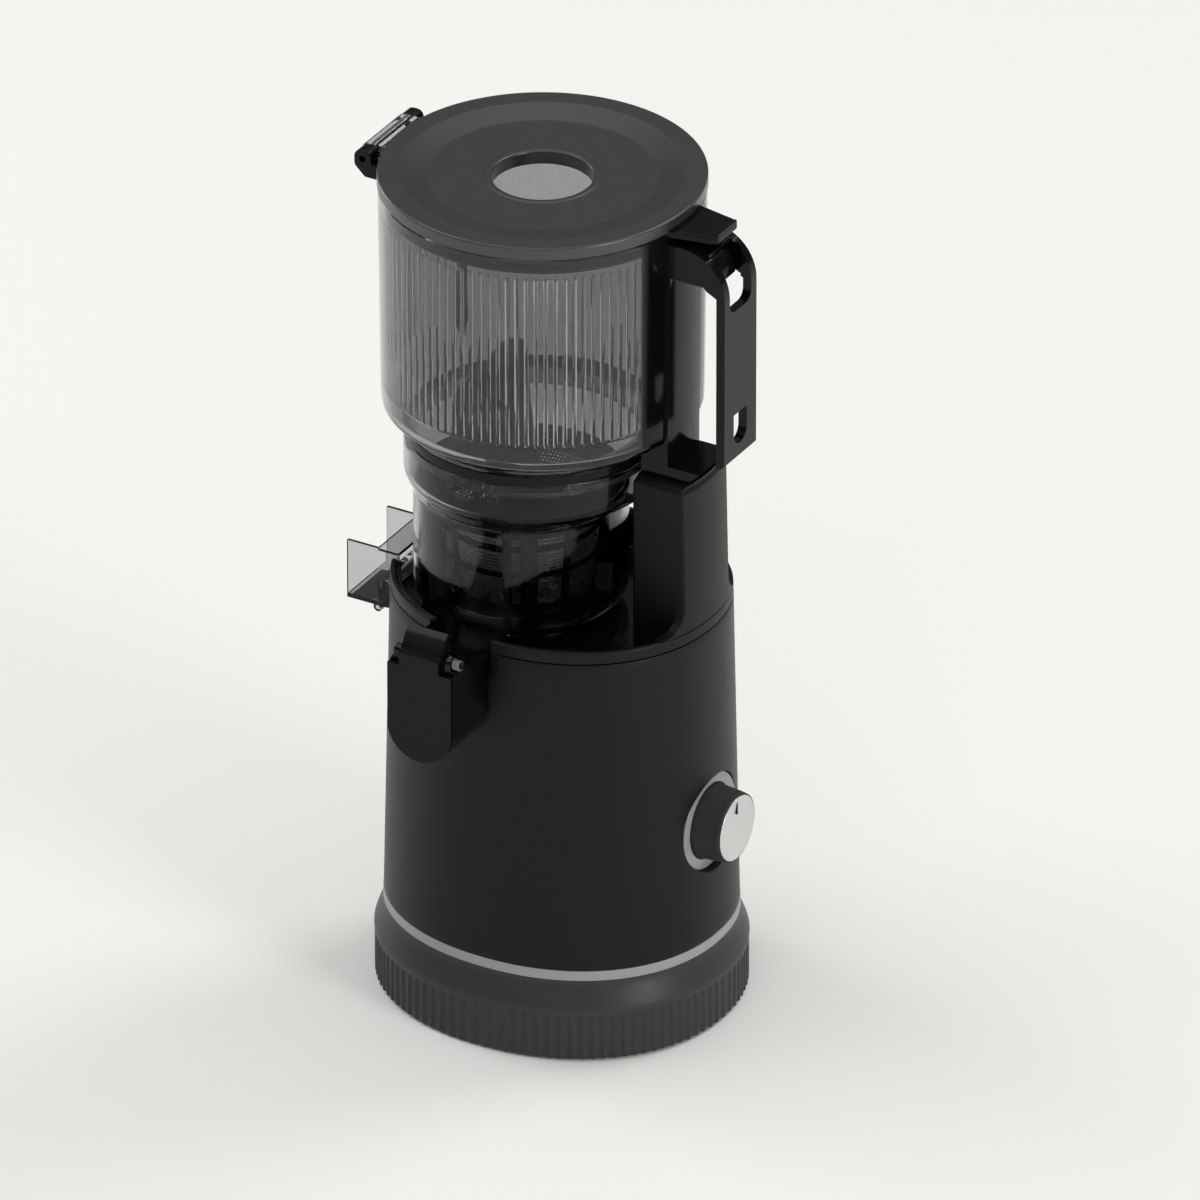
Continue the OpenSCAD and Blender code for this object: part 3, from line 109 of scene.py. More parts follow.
class JuicerFinish(bpy.types.PropertyGroup):
    """Colours of the visible materials."""
    casing: tint("Casing", "Satin black of the casing", (0.0045, 0.0045, 0.005))
    gloss: tint("Gloss parts", "Gloss black of the deck, handle and flap", (0.003, 0.003, 0.0035))
    plinth: tint("Plinth", "Dark grey of the fluted plinth", (0.032, 0.032, 0.034))
    lid: tint("Lid", "Grey of the lid", (0.03, 0.03, 0.031))
    trim: tint("Trim", "Pale grey of the trim ring and bezel", (0.3, 0.3, 0.293))
    smoke: tint("Smoke", "Tint of the clear parts", (0.34, 0.34, 0.345))


# Shapes

def sizes():
    """The sizes set in the scene."""
    return bpy.context.scene.juicer_sizes


def circle(n):
    """n angles spread evenly over a full turn."""
    return np.linspace(0, 2 * math.pi, n, endpoint=False)


def smooth(s):
    """Smoothstep: s^2 (3 - 2 s)."""
    return s * s * (3 - 2 * s)


def oval(angle, hx, hy):
    """Superellipse: x = hx sign(cos a) |cos a|^(2/n), y = hy sign(sin a) |sin a|^(2/n)."""
    n = sizes().oval_power
    c, s = np.cos(angle), np.sin(angle)
    return hx * np.sign(c) * np.abs(c) ** (2 / n), hy * np.sign(s) * np.abs(s) ** (2 / n)


def share_at(z):
    """Width share of the casing at height z: 1 at its lower edge, falling in a line to the taper at the rim."""
    return 1 - (1 - sizes().taper) * (z - BODY["z0"]) / (BODY["rim"] - BODY["z0"])


def oval_points(angle, inset, z):
    """The tapering oval: oval(a) with half lengths hx share(z) - inset and hy share(z) - inset, at height z."""
    s = share_at(z)
    x, y = oval(angle[:, None], BODY["hx"] * s - inset, BODY["hy"] * s - inset)
    return np.stack([x, y, np.broadcast_to(z, x.shape)], -1)


def rounded(corners, closed=True, steps=5):
    """Polyline whose corner (x, y, r) becomes an arc of radius r touching both of its sides."""
    out, n = [], len(corners)
    for i, (x, y, r) in enumerate(corners):
        p = np.array([x, y], float)
        if r <= 0 or (not closed and i in (0, n - 1)):
            out.append(p)
            continue
        a = np.array(corners[i - 1][:2], float) - p
        b = np.array(corners[(i + 1) % n][:2], float) - p
        la, lb = np.hypot(*a), np.hypot(*b)
        a, b = a / la, b / lb
        half = math.acos(float(np.clip(a @ b, -1, 1))) / 2
        d = min(r / math.tan(half), la * 0.49, lb * 0.49)
        rr = d * math.tan(half)
        c = p + (a + b) / np.hypot(*(a + b)) * (rr / math.sin(half))
        s, e = p + a * d - c, p + b * d - c
        t0 = math.atan2(s[1], s[0])
        dt = (math.atan2(e[1], e[0]) - t0 + math.pi) % (2 * math.pi) - math.pi
        t = t0 + dt * np.arange(steps + 1) / steps
        out.extend(c + rr * np.stack([np.cos(t), np.sin(t)], 1))
    return np.array(out)


def grid_mesh(name, points, closed="", keep=None, cap_u=False):
    """Mesh of quads over a (u, v, 3) array of points in millimetres.

    Each quad joins points (i, j), (i+1, j), (i+1, j+1), (i, j+1); the directions named in closed wrap round;
    keep is a mask of the quads that stay; cap_u closes both ends of an open u with one face.
    """
    nu, nv = points.shape[:2]
    iu = np.arange(nu if "u" in closed else nu - 1)
    iv = np.arange(nv if "v" in closed else nv - 1)
    a, b = np.meshgrid(iu, iv, indexing="ij")
    a1, b1 = (a + 1) % nu, (b + 1) % nv
    quads = np.stack([a * nv + b, a1 * nv + b, a1 * nv + b1, a * nv + b1], -1)
    faces = (quads[keep] if keep is not None else quads.reshape(-1, 4)).tolist()
    if cap_u:
        ring = list(range(nv))
        faces.append(ring[::-1])
        faces.append([(nu - 1) * nv + j for j in ring])
    mesh = bpy.data.meshes.new(name)
    mesh.from_pydata((points.reshape(-1, 3) * MM).tolist(), [], faces)
    return mesh


def joined(name, meshes, body, material, sharp=40, weld=WELD, even=True):
    """One object from several meshes: doubles are merged, normals face out and smooth except at sharp edges."""
    work = bmesh.new()
    for mesh in meshes:
        work.from_mesh(mesh)
    bmesh.ops.remove_doubles(work, verts=work.verts, dist=weld)
    bmesh.ops.recalc_face_normals(work, faces=work.faces)
    mesh = bpy.data.meshes.new(name)
    work.to_mesh(mesh)
    work.free()
    for old in meshes:
        bpy.data.meshes.remove(old)
    return placed(name, mesh, body, material, sharp, even)


def linked(name, data):
    """A new object in the scene's collection."""
    obj = bpy.data.objects.new(name, data)
    bpy.context.scene.collection.objects.link(obj)
    return obj


def placed(name, mesh, body, material, sharp=40, even=True):
    """Links a mesh as a piece: smooth faces, sharp edges past an angle, area-weighted normals, body and slot."""
    mesh.polygons.foreach_set("use_smooth", np.ones(len(mesh.polygons), bool))
    mesh.set_sharp_from_angle(angle=math.radians(sharp))
    obj = linked(name, mesh)
    mesh.materials.append(material)
    if even:
        obj.modifiers.new("normals", "WEIGHTED_NORMAL").keep_sharp = True
    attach(obj, body)
    return obj


def thicken(obj, thickness, offset=-1):
    """Gives a surface a wall, in millimetres: inwards, or to both sides where the offset is 0."""
    wall = obj.modifiers.new("wall", "SOLIDIFY")
    wall.thickness, wall.offset = thickness * MM, offset


def turned(name, profile, cx, n):
    """Surface of revolution: (r, z) of the profile carried round the upright axis at x = cx."""
    angles = circle(n)
    rows = np.column_stack([profile[:, 1], np.full(len(profile), cx), profile[:, 0]])
    return grid_mesh(name, ring_grid(rows, angles), "uv")


def oval_sweep(name, profile, angles=None):
    """A profile of (inset, z) carried once round the tapering oval, or along an arc whose ends are closed."""
    whole = angles is None
    t = circle(216) if whole else angles
    points = oval_points(t, profile[:, 0], profile[:, 1])
    return grid_mesh(name, points, "uv" if whole else "v", cap_u=not whole)


def plate(name, outline, y0, y1, edge=0.7, plane="xz"):
    """A closed outline pushed through a thickness, its rims rounded by insetting along the outline's normals."""
    nxt, prv = np.roll(outline, -1, 0), np.roll(outline, 1, 0)
    tan = nxt - prv
    tan /= np.maximum(np.hypot(tan[:, 0], tan[:, 1]), 1e-9)[:, None]
    area = np.sum(outline[:, 0] * nxt[:, 1] - nxt[:, 0] * outline[:, 1])
    normal = np.stack([tan[:, 1], -tan[:, 0]], 1) * np.sign(area)
    rings = []
    for side, y in ((1, y0), (-1, y1)):
        part = []
        for a in (0, 30, 60, 90):
            inset = edge * (1 - math.sin(math.radians(a)))
            depth = edge * (1 - math.cos(math.radians(a)))
            part.append((outline - normal * inset, y + side * depth))
        rings += part if side == 1 else part[::-1]
    pts = np.stack([np.stack([r[:, 0], np.full(len(r), y), r[:, 1]], 1) for r, y in rings])
    if plane == "xy":
        pts = pts[:, :, [0, 2, 1]]
    elif plane == "yz":
        pts = pts[:, :, [1, 0, 2]]
    return grid_mesh(name, pts, "v", cap_u=True)


def edged_copy(name, node, body, material, edge, segments=3, planes=()):
    """A copy of a construction node with merged corners, whole flat faces and rounded edges.

    Of each plane (point, normal) only the side that the normal points to is left.
    """
    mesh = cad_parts[node].data.copy()
    mesh.materials.clear()
    work = bmesh.new()
    work.from_mesh(mesh)
    bmesh.ops.remove_doubles(work, verts=work.verts, dist=WELD)
    for point, normal in planes:
        bmesh.ops.bisect_plane(work, geom=work.verts[:] + work.edges[:] + work.faces[:],
                               plane_co=[c * MM for c in point], plane_no=normal, clear_inner=True)
    bmesh.ops.dissolve_limit(work, angle_limit=math.radians(0.6), verts=work.verts, edges=work.edges)
    work.to_mesh(mesh)
    work.free()
    obj = placed(name, mesh, body, material, COPY_SHARP, even=False)
    bevel = obj.modifiers.new("edges", "BEVEL")
    bevel.width, bevel.segments, bevel.limit_method = edge * MM, segments, "ANGLE"
    bevel.angle_limit = math.radians(COPY_SHARP)
    obj.modifiers.new("normals", "WEIGHTED_NORMAL")
    return obj


# Finishes

def wire(tree, kind, inputs=None, **props):
    """Adds a node, sets its properties and fills or links its inputs."""
    node = tree.nodes.new("ShaderNode" + kind)
    for key, value in props.items():
        setattr(node, key, value)
    for key, value in (inputs or {}).items():
        sock = node.inputs[key]
        if isinstance(value, bpy.types.NodeSocket):
            tree.links.new(value, sock)
        else:
            sock.default_value = value
    return node


def maths(tree, operation, *values):
    """The result of a maths node on the values."""
    return wire(tree, "Math", dict(enumerate(values)), operation=operation).outputs[0]


def noise(tree, vector, scale, detail, roughness=0.5, distortion=0.0):
    """The height of a noise texture at the vector."""
    return wire(tree, "TexNoise", {"Vector": vector, "Scale": scale, "Detail": detail, "Roughness": roughness,
                                   "Distortion": distortion}).outputs["Fac"]


def new_group(name, inputs):
    """A node group with the inputs (label, default) and the outputs Color, Roughness and Height, and both ends."""
    group = bpy.data.node_groups.new(name, "ShaderNodeTree")
    for label, default in inputs:
        size = len(default) if isinstance(default, tuple) else 1
        kind = {1: "NodeSocketFloat", 3: "NodeSocketVector", 4: "NodeSocketColor"}[size]
        group.interface.new_socket(name=label, in_out="INPUT", socket_type=kind).default_value = default
    for label, kind in (("Color", "NodeSocketColor"), ("Roughness", "NodeSocketFloat"), ("Height", "NodeSocketFloat")):
        group.interface.new_socket(name=label, in_out="OUTPUT", socket_type=kind)
    return group, group.nodes.new("NodeGroupInput").outputs, group.nodes.new("NodeGroupOutput").inputs


def moulded_group():
    """Moulded plastic: fine grain height, broad unevenness, faint dust that gathers on faces that look up."""
    group, given, out = new_group("moulded plastic", (
        ("Color", (0.1, 0.1, 0.1, 1)), ("Roughness", 0.3), ("Grain size", 0.4), ("Grain", 0.3),
        ("Unevenness", 0.04), ("Dust", 0.02)))
    place = wire(group, "TexCoord").outputs["Object"]
    grain = noise(group, place, maths(group, "DIVIDE", 1000.0, given["Grain size"]), 2.0, 0.6)
    broad = noise(group, place, 34.0, 3.0)
    smear = noise(group, place, 120.0, 4.0, 0.65, 0.6)
    centred = maths(group, "ADD", maths(group, "ADD", broad, smear), -1.0)
    rough = maths(group, "MULTIPLY_ADD", centred, given["Unevenness"], given["Roughness"])
    normal = wire(group, "SeparateXYZ", {0: wire(group, "NewGeometry").outputs["Normal"]})
    facing = wire(group, "MapRange", {"Value": normal.outputs["Z"], "From Min": 0.3, "From Max": 1.0})
    speck = wire(group, "MapRange", {"Value": smear, "From Min": 0.45, "From Max": 0.75})
    dust = maths(group, "MULTIPLY", maths(group, "MULTIPLY", facing.outputs[0], speck.outputs[0]), given["Dust"])
    dusty = wire(group, "Mix", {0: dust, 6: given["Color"], 7: (0.35, 0.34, 0.32, 1)}, data_type="RGBA")
    height = maths(group, "MULTIPLY", grain, given["Grain"])
    for result, socket in zip((dusty.outputs[2], rough, height), out):
        group.links.new(result, socket)
    return group


def brushed_group():
    """Turned or drawn metal: fine lines whose height is noise stretched along the grain, and worn roughness."""
    group, given, out = new_group("brushed metal", (
        ("Color", (0.6, 0.6, 0.6, 1)), ("Roughness", 0.3), ("Lines", (1, 1, 1)), ("Depth", 0.3), ("Stain", 0.08)))
    place = wire(group, "TexCoord").outputs["Object"]
    stretch = wire(group, "VectorMath", {0: place, 1: given["Lines"]}, operation="MULTIPLY")
    lines = noise(group, stretch.outputs[0], 1.0, 3.0, 0.7)
    stain = noise(group, place, 60.0, 4.0)
    rough = maths(group, "MULTIPLY_ADD", stain, given["Stain"], given["Roughness"])
    dim = wire(group, "MapRange", {"Value": stain, "To Min": 1.0, "To Max": 0.86})
    shade = wire(group, "VectorMath", {0: given["Color"], 3: dim.outputs[0]}, operation="SCALE")
    height = maths(group, "MULTIPLY", lines, given["Depth"])
    for result, socket in zip((shade.outputs[0], rough, height), out):
        group.links.new(result, socket)
    return group


def shader_of(material):
    """The Principled shader of a node material."""
    return next(n for n in material.node_tree.nodes if n.type == "BSDF_PRINCIPLED")


def finish(name, colour, group, bump, sockets, principled):
    """A material: one effect group feeding colour, roughness and bump of a Principled shader."""
    mat = bpy.data.materials.new(name)
    mat.use_nodes = True
    tree, shader = mat.node_tree, shader_of(mat)
    effect = wire(tree, "Group", None, node_tree=group)
    for key, value in {"Color": (*colour, 1), **sockets}.items():
        effect.inputs[key].default_value = value
    tree.links.new(effect.outputs["Color"], shader.inputs["Base Color"])
    tree.links.new(effect.outputs["Roughness"], shader.inputs["Roughness"])
    relief = wire(tree, "Bump", {"Height": effect.outputs["Height"], "Strength": 1.0, "Distance": bump * MM})
    tree.links.new(relief.outputs["Normal"], shader.inputs["Normal"])
    for key, value in principled.items():
        shader.inputs[key].default_value = value
    return mat


def make_finishes():
    """Every material of the machine by name."""
    f = bpy.context.scene.juicer_finish
    clear = {"Transmission Weight": 1.0, "IOR": 1.3, "Specular IOR Level": 0.5}
    metal = {"Metallic": 1.0}
    # Name, colour, depth of the relief in millimetres, values in the order of the group's inputs, shader values.
    moulded = {
        "casing": ("satin black casing", f.casing, 0.006, (0.42, 0.35, 0.5, 0.04, 0.004), {"Specular IOR Level": 0.2}),
        "gloss": ("gloss black moulding", f.gloss, 0.003, (0.12, 1.6, 0.3, 0.05, 0.006), {"Specular IOR Level": 0.18}),
        "plinth": ("dark grey plinth", f.plinth, 0.008, (0.42, 0.4, 0.6, 0.04, 0.01), {"Specular IOR Level": 0.3}),
        "lid": ("grey lid", f.lid, 0.006, (0.3, 0.4, 0.5, 0.04, 0.01), {"Specular IOR Level": 0.7}),
        "trim": ("pale trim", f.trim, 0.004, (0.4, 0.4, 0.4, 0.04, 0.0), {}),
        "smoke": ("smoky clear plastic", f.smoke, 0.001, (0.01, 2.2, 0.2, 0.01, 0.0), {**clear, "IOR": 1.47}),
        "drum": ("dark smoky drum", (0.42, 0.42, 0.425), 0.002, (0.03, 2.2, 0.2, 0.02, 0.0), clear),
        "chute": ("light smoky chute", (0.55, 0.55, 0.55), 0.002, (0.06, 2.2, 0.2, 0.02, 0.0), clear),
        "filter": ("dark filter frame", (0.012, 0.012, 0.013), 0.004, (0.22, 0.8, 0.4, 0.04, 0.0), {}),
        "rubber": ("black rubber", (0.016, 0.016, 0.017), 0.02, (0.72, 0.5, 0.8, 0.04, 0.02), {}),
        "gear": ("pale gear plastic", (0.62, 0.6, 0.52), 0.01, (0.45, 0.5, 0.5, 0.04, 0.02), {}),
        "board": ("green board lacquer", (0.02, 0.13, 0.05), 0.02, (0.3, 1.2, 0.8, 0.04, 0.02), {}),
    }
    brushed = {
        "steel": ("drawn steel", (0.6, 0.61, 0.62), 0.01, (0.24, (900, 900, 7000), 0.5, 0.08), metal),
        "turned": ("spun metal cap", (0.74, 0.74, 0.74), 0.004, (0.22, (300, 9000, 9000), 0.4, 0.03),
                   {**metal, "Anisotropic": 0.75}),
        "cast": ("cast alloy", (0.5, 0.51, 0.52), 0.06, (0.45, (1500, 1500, 1500), 0.9, 0.08), metal),
        "can": ("motor steel", (0.3, 0.31, 0.32), 0.01, (0.38, (300, 300, 6000), 0.5, 0.08), {"Metallic": 0.85}),
        "copper": ("copper winding", (0.6, 0.26, 0.12), 0.15, (0.34, (300, 300, 2500), 1.0, 0.08), metal),
    }
    made = {}
    for table, group, labels in (
            (moulded, moulded_group(), ("Roughness", "Grain size", "Grain", "Unevenness", "Dust")),
            (brushed, brushed_group(), ("Roughness", "Lines", "Depth", "Stain"))):
        for key, (name, colour, bump, values, shader_values) in table.items():
            made[key] = finish(name, colour, group, bump, dict(zip(labels, values)), shader_values)
    return made


# Places taken from the construction

DRUM_X, COLLAR_X, HOPPER_X = -25.0, -17.0, -11.5
KNOB_Z, KNOB_X = 121.0, node_box("knob_bezel")[0][0]
DECK_Z, NOTCH_Z, NOTCH_MID = 226.0, 228.0, 236.0
SPOUT_X, SPOUT_HALF = -16.0, 20.5
CHUTE_Y, CHUTE_HALF = -8.0, 22.9
WING_TURN, GEAR_N = 210, 20


def angle_at_x(x, side, z):
    """Oval parameter where the outline at height z passes x: cos a = sign(x) (|x| / hx)^(n/2)."""
    return side * np.arccos(np.sign(x) * (np.abs(x) / (BODY["hx"] * share_at(z))) ** (sizes().oval_power / 2))


def angle_at_y(y, side, z):
    """Oval parameter where the outline at height z passes y: sin a = sign(y) (|y| / hy)^(n/2)."""
    a = np.arcsin(np.sign(y) * (np.abs(y) / (BODY["hy"] * share_at(z))) ** (sizes().oval_power / 2))
    return a if side > 0 else np.where(a >= 0, math.pi - a, -math.pi - a)


def wall_x(y, z, inset=0.0):
    """x of the casing on its knob side: a (1 - (|y| / b)^n)^(1/n), a and b its half lengths less the inset."""
    n, s = sizes().oval_power, share_at(z)
    return (BODY["hx"] * s - inset) * np.maximum(1 - (np.abs(y) / (BODY["hy"] * s - inset)) ** n, 0) ** (1 / n)


def notch_angles():
    """Oval parameters of both edges of the spout's notch and of the chute's notch."""
    front = [float(angle_at_x(SPOUT_X + s * SPOUT_HALF, -1, NOTCH_MID)) for s in (-1, 1)]
    left = [float(angle_at_y(CHUTE_Y + s * CHUTE_HALF, -1, NOTCH_MID)) for s in (1, -1)]
    return front, left


def with_lines(base, wanted):
    """The base values with the nearest one moved onto each wanted value."""
    out = np.array(base, float)
    for w in wanted:
        out[np.argmin(np.abs(out - w))] = w
    return np.sort(out)


def middles(angles):
    """The middle of each step round a closed ring of angles, as a column between minus and plus half a turn."""
    mid = (angles + np.append(angles[1:], angles[0] + 2 * math.pi)) / 2
    return np.where(mid > math.pi, mid - 2 * math.pi, mid)[:, None]


def in_notch(angle):
    """True where an oval parameter lies inside either notch."""
    front, left = notch_angles()
    return ((angle > front[0]) & (angle < front[1])) | (angle > left[0]) | (angle < left[1])


def make_plinth(mats):
    """Plinth: half lengths shrink by depth * arch(u) * fade(z) per flute, then by smooth(s^1.15) up the shoulder."""
    n, top, depth = sizes().flute_count, sizes().flute_top / MM, sizes().flute_depth / MM
    cells, land, run_in, wall = 10, 0.35, 0.4, 5.2
    a = circle(n * cells)
    u = (np.arange(n * cells) % cells - 5) / 4.1
    arch = np.sqrt(np.maximum(0, 1 - u ** 2))[:, None]
    z0, z1 = BODY["f0"], BODY["f1"]
    low = z0 + np.array([0, 0.25, 0.8, 3, 9, 15, 20])
    zs = np.concatenate([low, np.linspace(top - 5.5, top + 0.5, 13), np.linspace(top + 1.2, z1, 18)])
    s = np.clip((zs - top) / (z1 - top), 0, 1) ** 1.15
    drop = smooth(s)
    tip = top - 0.4 - 3.4 * (1 - arch)
    fade = smooth(np.clip((tip - zs) / 1.6, 0, 1))
    bulge = 0.35 * np.exp(-((zs - top - 2.2) / 2.6) ** 2)
    inset = land + depth * arch * fade - bulge
    inset[:, 0] += 0.9
    inset[:, 1] += 0.35
    over_x, over_y = BODY["fx"] - BODY["hx"] - run_in, BODY["fy"] - BODY["hy"] - run_in
    x, y = oval(a[:, None], BODY["fx"] - inset - drop * over_x, BODY["fy"] - inset - drop * over_y)
    outer = np.stack([x, y, np.broadcast_to(zs, x.shape)], -1)
    inner = []
    for g, z in ((0.8, z1), (wall, z1), (wall, 30.0), (wall, z0)):
        ix, iy = oval(a, BODY["hx"] - g, BODY["hy"] - g)
        inner.append(np.stack([ix, iy, np.full_like(ix, z)], -1))
    pts = np.concatenate([outer, np.stack(inner, 1)], 1)
    obj = joined("plinth_shell", [grid_mesh("plinth", pts, "uv")], "base", mats["plinth"],
                 sharp=50)
    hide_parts("foot_ring")


def make_trim(mats):
    """Pale ring between plinth and casing: a rounded bar swept round the oval."""
    prof = rounded([(5.0, BODY["t0"], 0), (-0.2, BODY["t0"], 0.5), (-0.2, BODY["t1"], 0.5), (5.0, BODY["t1"], 0)])
    obj = joined("trim_band", [oval_sweep("trim", prof)], "base", mats["trim"])
    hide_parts("trim_ring")


def knob_patch(half, steps):
    """Grid from the knob's pocket out to a square of the casing's own grid.

    Each line runs from a circle point to a point of the square's border, q = (1 - t) circle + t square, and
    is lifted onto the casing with wall_x; inside the circle it drops to the pocket's floor.
    """
    side = np.linspace(-half, half, steps + 1)
    end = np.full(steps, half)
    border = np.concatenate([np.stack([side[:-1], -end], 1), np.stack([end, side[:-1]], 1),
                             np.stack([side[:0:-1], end], 1), np.stack([-end, side[:0:-1]], 1)])
    way = border / np.hypot(border[:, 0], border[:, 1])[:, None]
    ref = share_at(KNOB_Z)
    hole = 27.95

    def lift(q):
        """Puts points (across, up) from the knob's centre onto the casing."""
        z = KNOB_Z + q[:, 1]
        y = q[:, 0] * share_at(z) / ref
        return np.stack([wall_x(y, z), y, z], -1)

    rows = [lift((1 - t) * way * (hole + 0.6) + t * border) for t in np.linspace(1, 0, 13) ** 1.3]
    rim = rows[-1][:, 0]
    floor = np.full(len(way), KNOB_X)
    for r, x in ((hole + 0.2, rim - 0.18), (hole, rim - 0.6), (hole, floor + 0.4), (hole - 0.4, floor),
                 (18.0, floor), (7.4, floor), (7.4, floor - 3.0)):
        rows.append(np.stack([x, way[:, 0] * r, KNOB_Z + way[:, 1] * r], -1))
    return grid_mesh("pocket", np.stack(rows, 0), "v")


def make_casing(mats):
    """Casing: the tapering oval as a grid of (angle, height) with the knob's pocket let in, then given its wall."""
    half, steps = 40.0, 40
    inlet_half, inlet_low, inlet_mid, inlet_high = 14.0, 79.2, 89, 99.0
    z0, z1 = BODY["z0"], BODY["z1"]
    lines = angle_at_y(np.linspace(-half, half, steps + 1) / share_at(KNOB_Z), 1, z0)
    front, left = notch_angles()
    inlet = [float(angle_at_x(s * inlet_half, 1, inlet_mid)) for s in (1, -1)]
    rest = np.linspace(lines[-1], 2 * math.pi + lines[0], 132)[1:-1]
    rest = np.where(rest > math.pi, rest - 2 * math.pi, rest)
    a = with_lines(np.concatenate([lines, rest]), front + left + inlet)
    zs = np.concatenate([[z0, z0 + 0.25, z0 + 0.8], np.linspace(58, inlet_low, 6),
                         KNOB_Z + np.linspace(-half, half, steps + 1), np.linspace(166, NOTCH_Z, 12),
                         [233.0, z1 - 0.6, z1 - 0.2, z1]])
    inset = np.zeros(len(zs))
    inset[[0, 1, -2, -1]] = 0.7, 0.2, 0.12, 0.5
    mid_a, mid_z = middles(a), ((zs[1:] + zs[:-1]) / 2)[None, :]
    knob = (mid_a > lines[0]) & (mid_a < lines[-1]) & (np.abs(mid_z - KNOB_Z) < half)
    notch = in_notch(mid_a) & (mid_z > NOTCH_Z)
    plug = (mid_a > inlet[0]) & (mid_a < inlet[1]) & (mid_z > inlet_low) & (mid_z < inlet_high)
    shell = grid_mesh("shell", oval_points(a, inset, zs), "u", keep=~(knob | notch | plug))
    obj = joined("casing_shell", [shell, knob_patch(half, steps)], "base", mats["casing"],
                 weld=0.00012, even=False)
    thicken(obj, 3)
    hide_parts("body_housing")


def make_rim(mats):
    """Rim band: a rounded bar swept round the oval in two arcs, between the notches of spout and chute."""
    front, left = notch_angles()
    z0, z1 = BODY["band"] + 0.5, BODY["rim"]
    prof = rounded([(3.2, z0, 0), (0.1, z0, 0.5), (0.0, z1, 1.3), (3.2, z1, 1.2)], steps=6)
    arcs = [np.linspace(front[1], left[0], 170), np.linspace(left[1], front[0], 40)]
    meshes = [oval_sweep("band", prof, a) for a in arcs]
    obj = joined("rim_arcs", meshes, "base", mats["casing"], sharp=50)
    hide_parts("rim_band")


def make_deck(mats):
    """Deck: rings from the rim wall through a fillet to the drum's seat, radii eased from the oval to circles."""
    front, left = notch_angles()
    a = with_lines(np.linspace(-math.pi, math.pi, 217)[:-1], front + left)
    prof = rounded([(3.3, 246.0, 0), (5.4, 246.0, 0.7), (5.4, DECK_Z, 6.0), (14.0, DECK_Z, 0)], closed=False, steps=8)
    prof = np.insert(prof, 8, [5.4, 240.0], 0)
    wall = oval_points(a, prof[:, 0], prof[:, 1])
    way = wall[:, -1, :2] - [DRUM_X, 0]
    way = (way / np.hypot(way[:, 0], way[:, 1])[:, None])[:, :, None]
    seat = rounded([(46.0, DECK_Z, 1.0), (46.0, 230.0, 0.5), (43.0, 230.0, 0.5), (43.0, DECK_Z, 1.0),
                    (16.0, DECK_Z, 0), (11.2, DECK_Z, 0.4), (11.2, 222.0, 0)], closed=False, steps=4)
    r, z = np.vstack([[46.0, DECK_Z], seat[1:]]).T
    x = DRUM_X + way[:, 0] * r
    pts = np.concatenate([wall, np.stack([x, way[:, 1] * r, np.broadcast_to(z, x.shape)], -1)], 1)
    high = (pts[0, 1:, 2] + pts[0, :-1, 2]) / 2 > NOTCH_Z
    on_wall = np.arange(pts.shape[1] - 1) < len(prof)
    keep = ~(in_notch(middles(a)) & (high & on_wall)[None, :])
    obj = joined("deck_floor", [grid_mesh("deck", pts, "u", keep=keep)], "base", mats["gloss"],
                 sharp=50, even=False)
    thicken(obj, 1.8)
    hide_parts("deck")


def make_column(mats):
    """Column: level outlines stacked in height; half width w + R - sqrt(R^2 - (R - h)^2) near the rim flares it."""
    fillet, rim = sizes().fillet / MM, BODY["rim"]
    low, high = node_box("column")
    half_width, crown, wall, r = 23.6, 5, 5.0, 1.3
    shoulder = high[2] - crown
    levels = np.concatenate([[DECK_Z - 0.5, NOTCH_MID, rim - 1.2],
                             rim + fillet * (1 - np.cos(np.linspace(0, math.pi / 2, 12))),
                             np.linspace(rim + fillet + 6, shoulder, 10),
                             shoulder + crown * np.sin(np.linspace(0.12, 1.5708, 9))])
    rings = []
    for z in levels:
        h = z - rim
        flare = fillet - math.sqrt(max(fillet ** 2 - (fillet - h) ** 2, 0)) if 0 <= h < fillet else 0.0
        up = max(0.0, z - shoulder) / crown
        shrink = crown * (1 - math.sqrt(max(0.0, 1 - up * up)))
        w = half_width - shrink
        big = w + flare
        inset = 5.4 if h < 0 else min(shrink, 1.0)
        inner = low[0] + min(shrink, 1.2)
        xs, xb, xo = (float(wall_x(np.array(y), z, inset)) for y in (w, big, big - r))
        xs, xb = xs - wall, xb - wall
        line = [(inner, 0.0), (inner, w * 0.5)]
        line += [(inner + 2 - 2 * math.cos(t), w - 2 + 2 * math.sin(t)) for t in np.linspace(0, math.pi / 2, 6)]
        line += [(inner + 8, w), (xs - 6, w), (xs, w), (xb + 0.05, big - 0.05), (xb + 0.4, big)]
        line += [(xo - r + r * math.sin(t), big - r + r * math.cos(t)) for t in np.linspace(0, 1.35, 5)]
        ys = np.linspace(big - r * 1.05, 0, 15)[1:]
        line += list(zip(wall_x(ys, z, inset), ys))
        half = np.array(line)
        full = np.vstack([half, half[-2:0:-1] * [1, -1]])
        rings.append(np.column_stack([full, np.full(len(full), z)]))
    obj = joined("column_shell", [grid_mesh("column", np.stack(rings, 0), "v", cap_u=True)], "base",
                 mats["casing"], sharp=32)
    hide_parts("column")


def turned_x(name, profile, n=128, ripple=None):
    """Surface of revolution about the knob's axis: (x, r) of the profile; ripple(angle, x) is taken off r."""
    t = circle(n)[:, None]
    x, r = profile[:, 0][None, :], profile[:, 1][None, :]
    r = r - (ripple(t, x) if ripple else 0)
    pts = np.stack([np.broadcast_to(x, (n, x.shape[1])), r * np.sin(t), KNOB_Z + r * np.cos(t)], -1)
    return grid_mesh(name, pts, "uv")


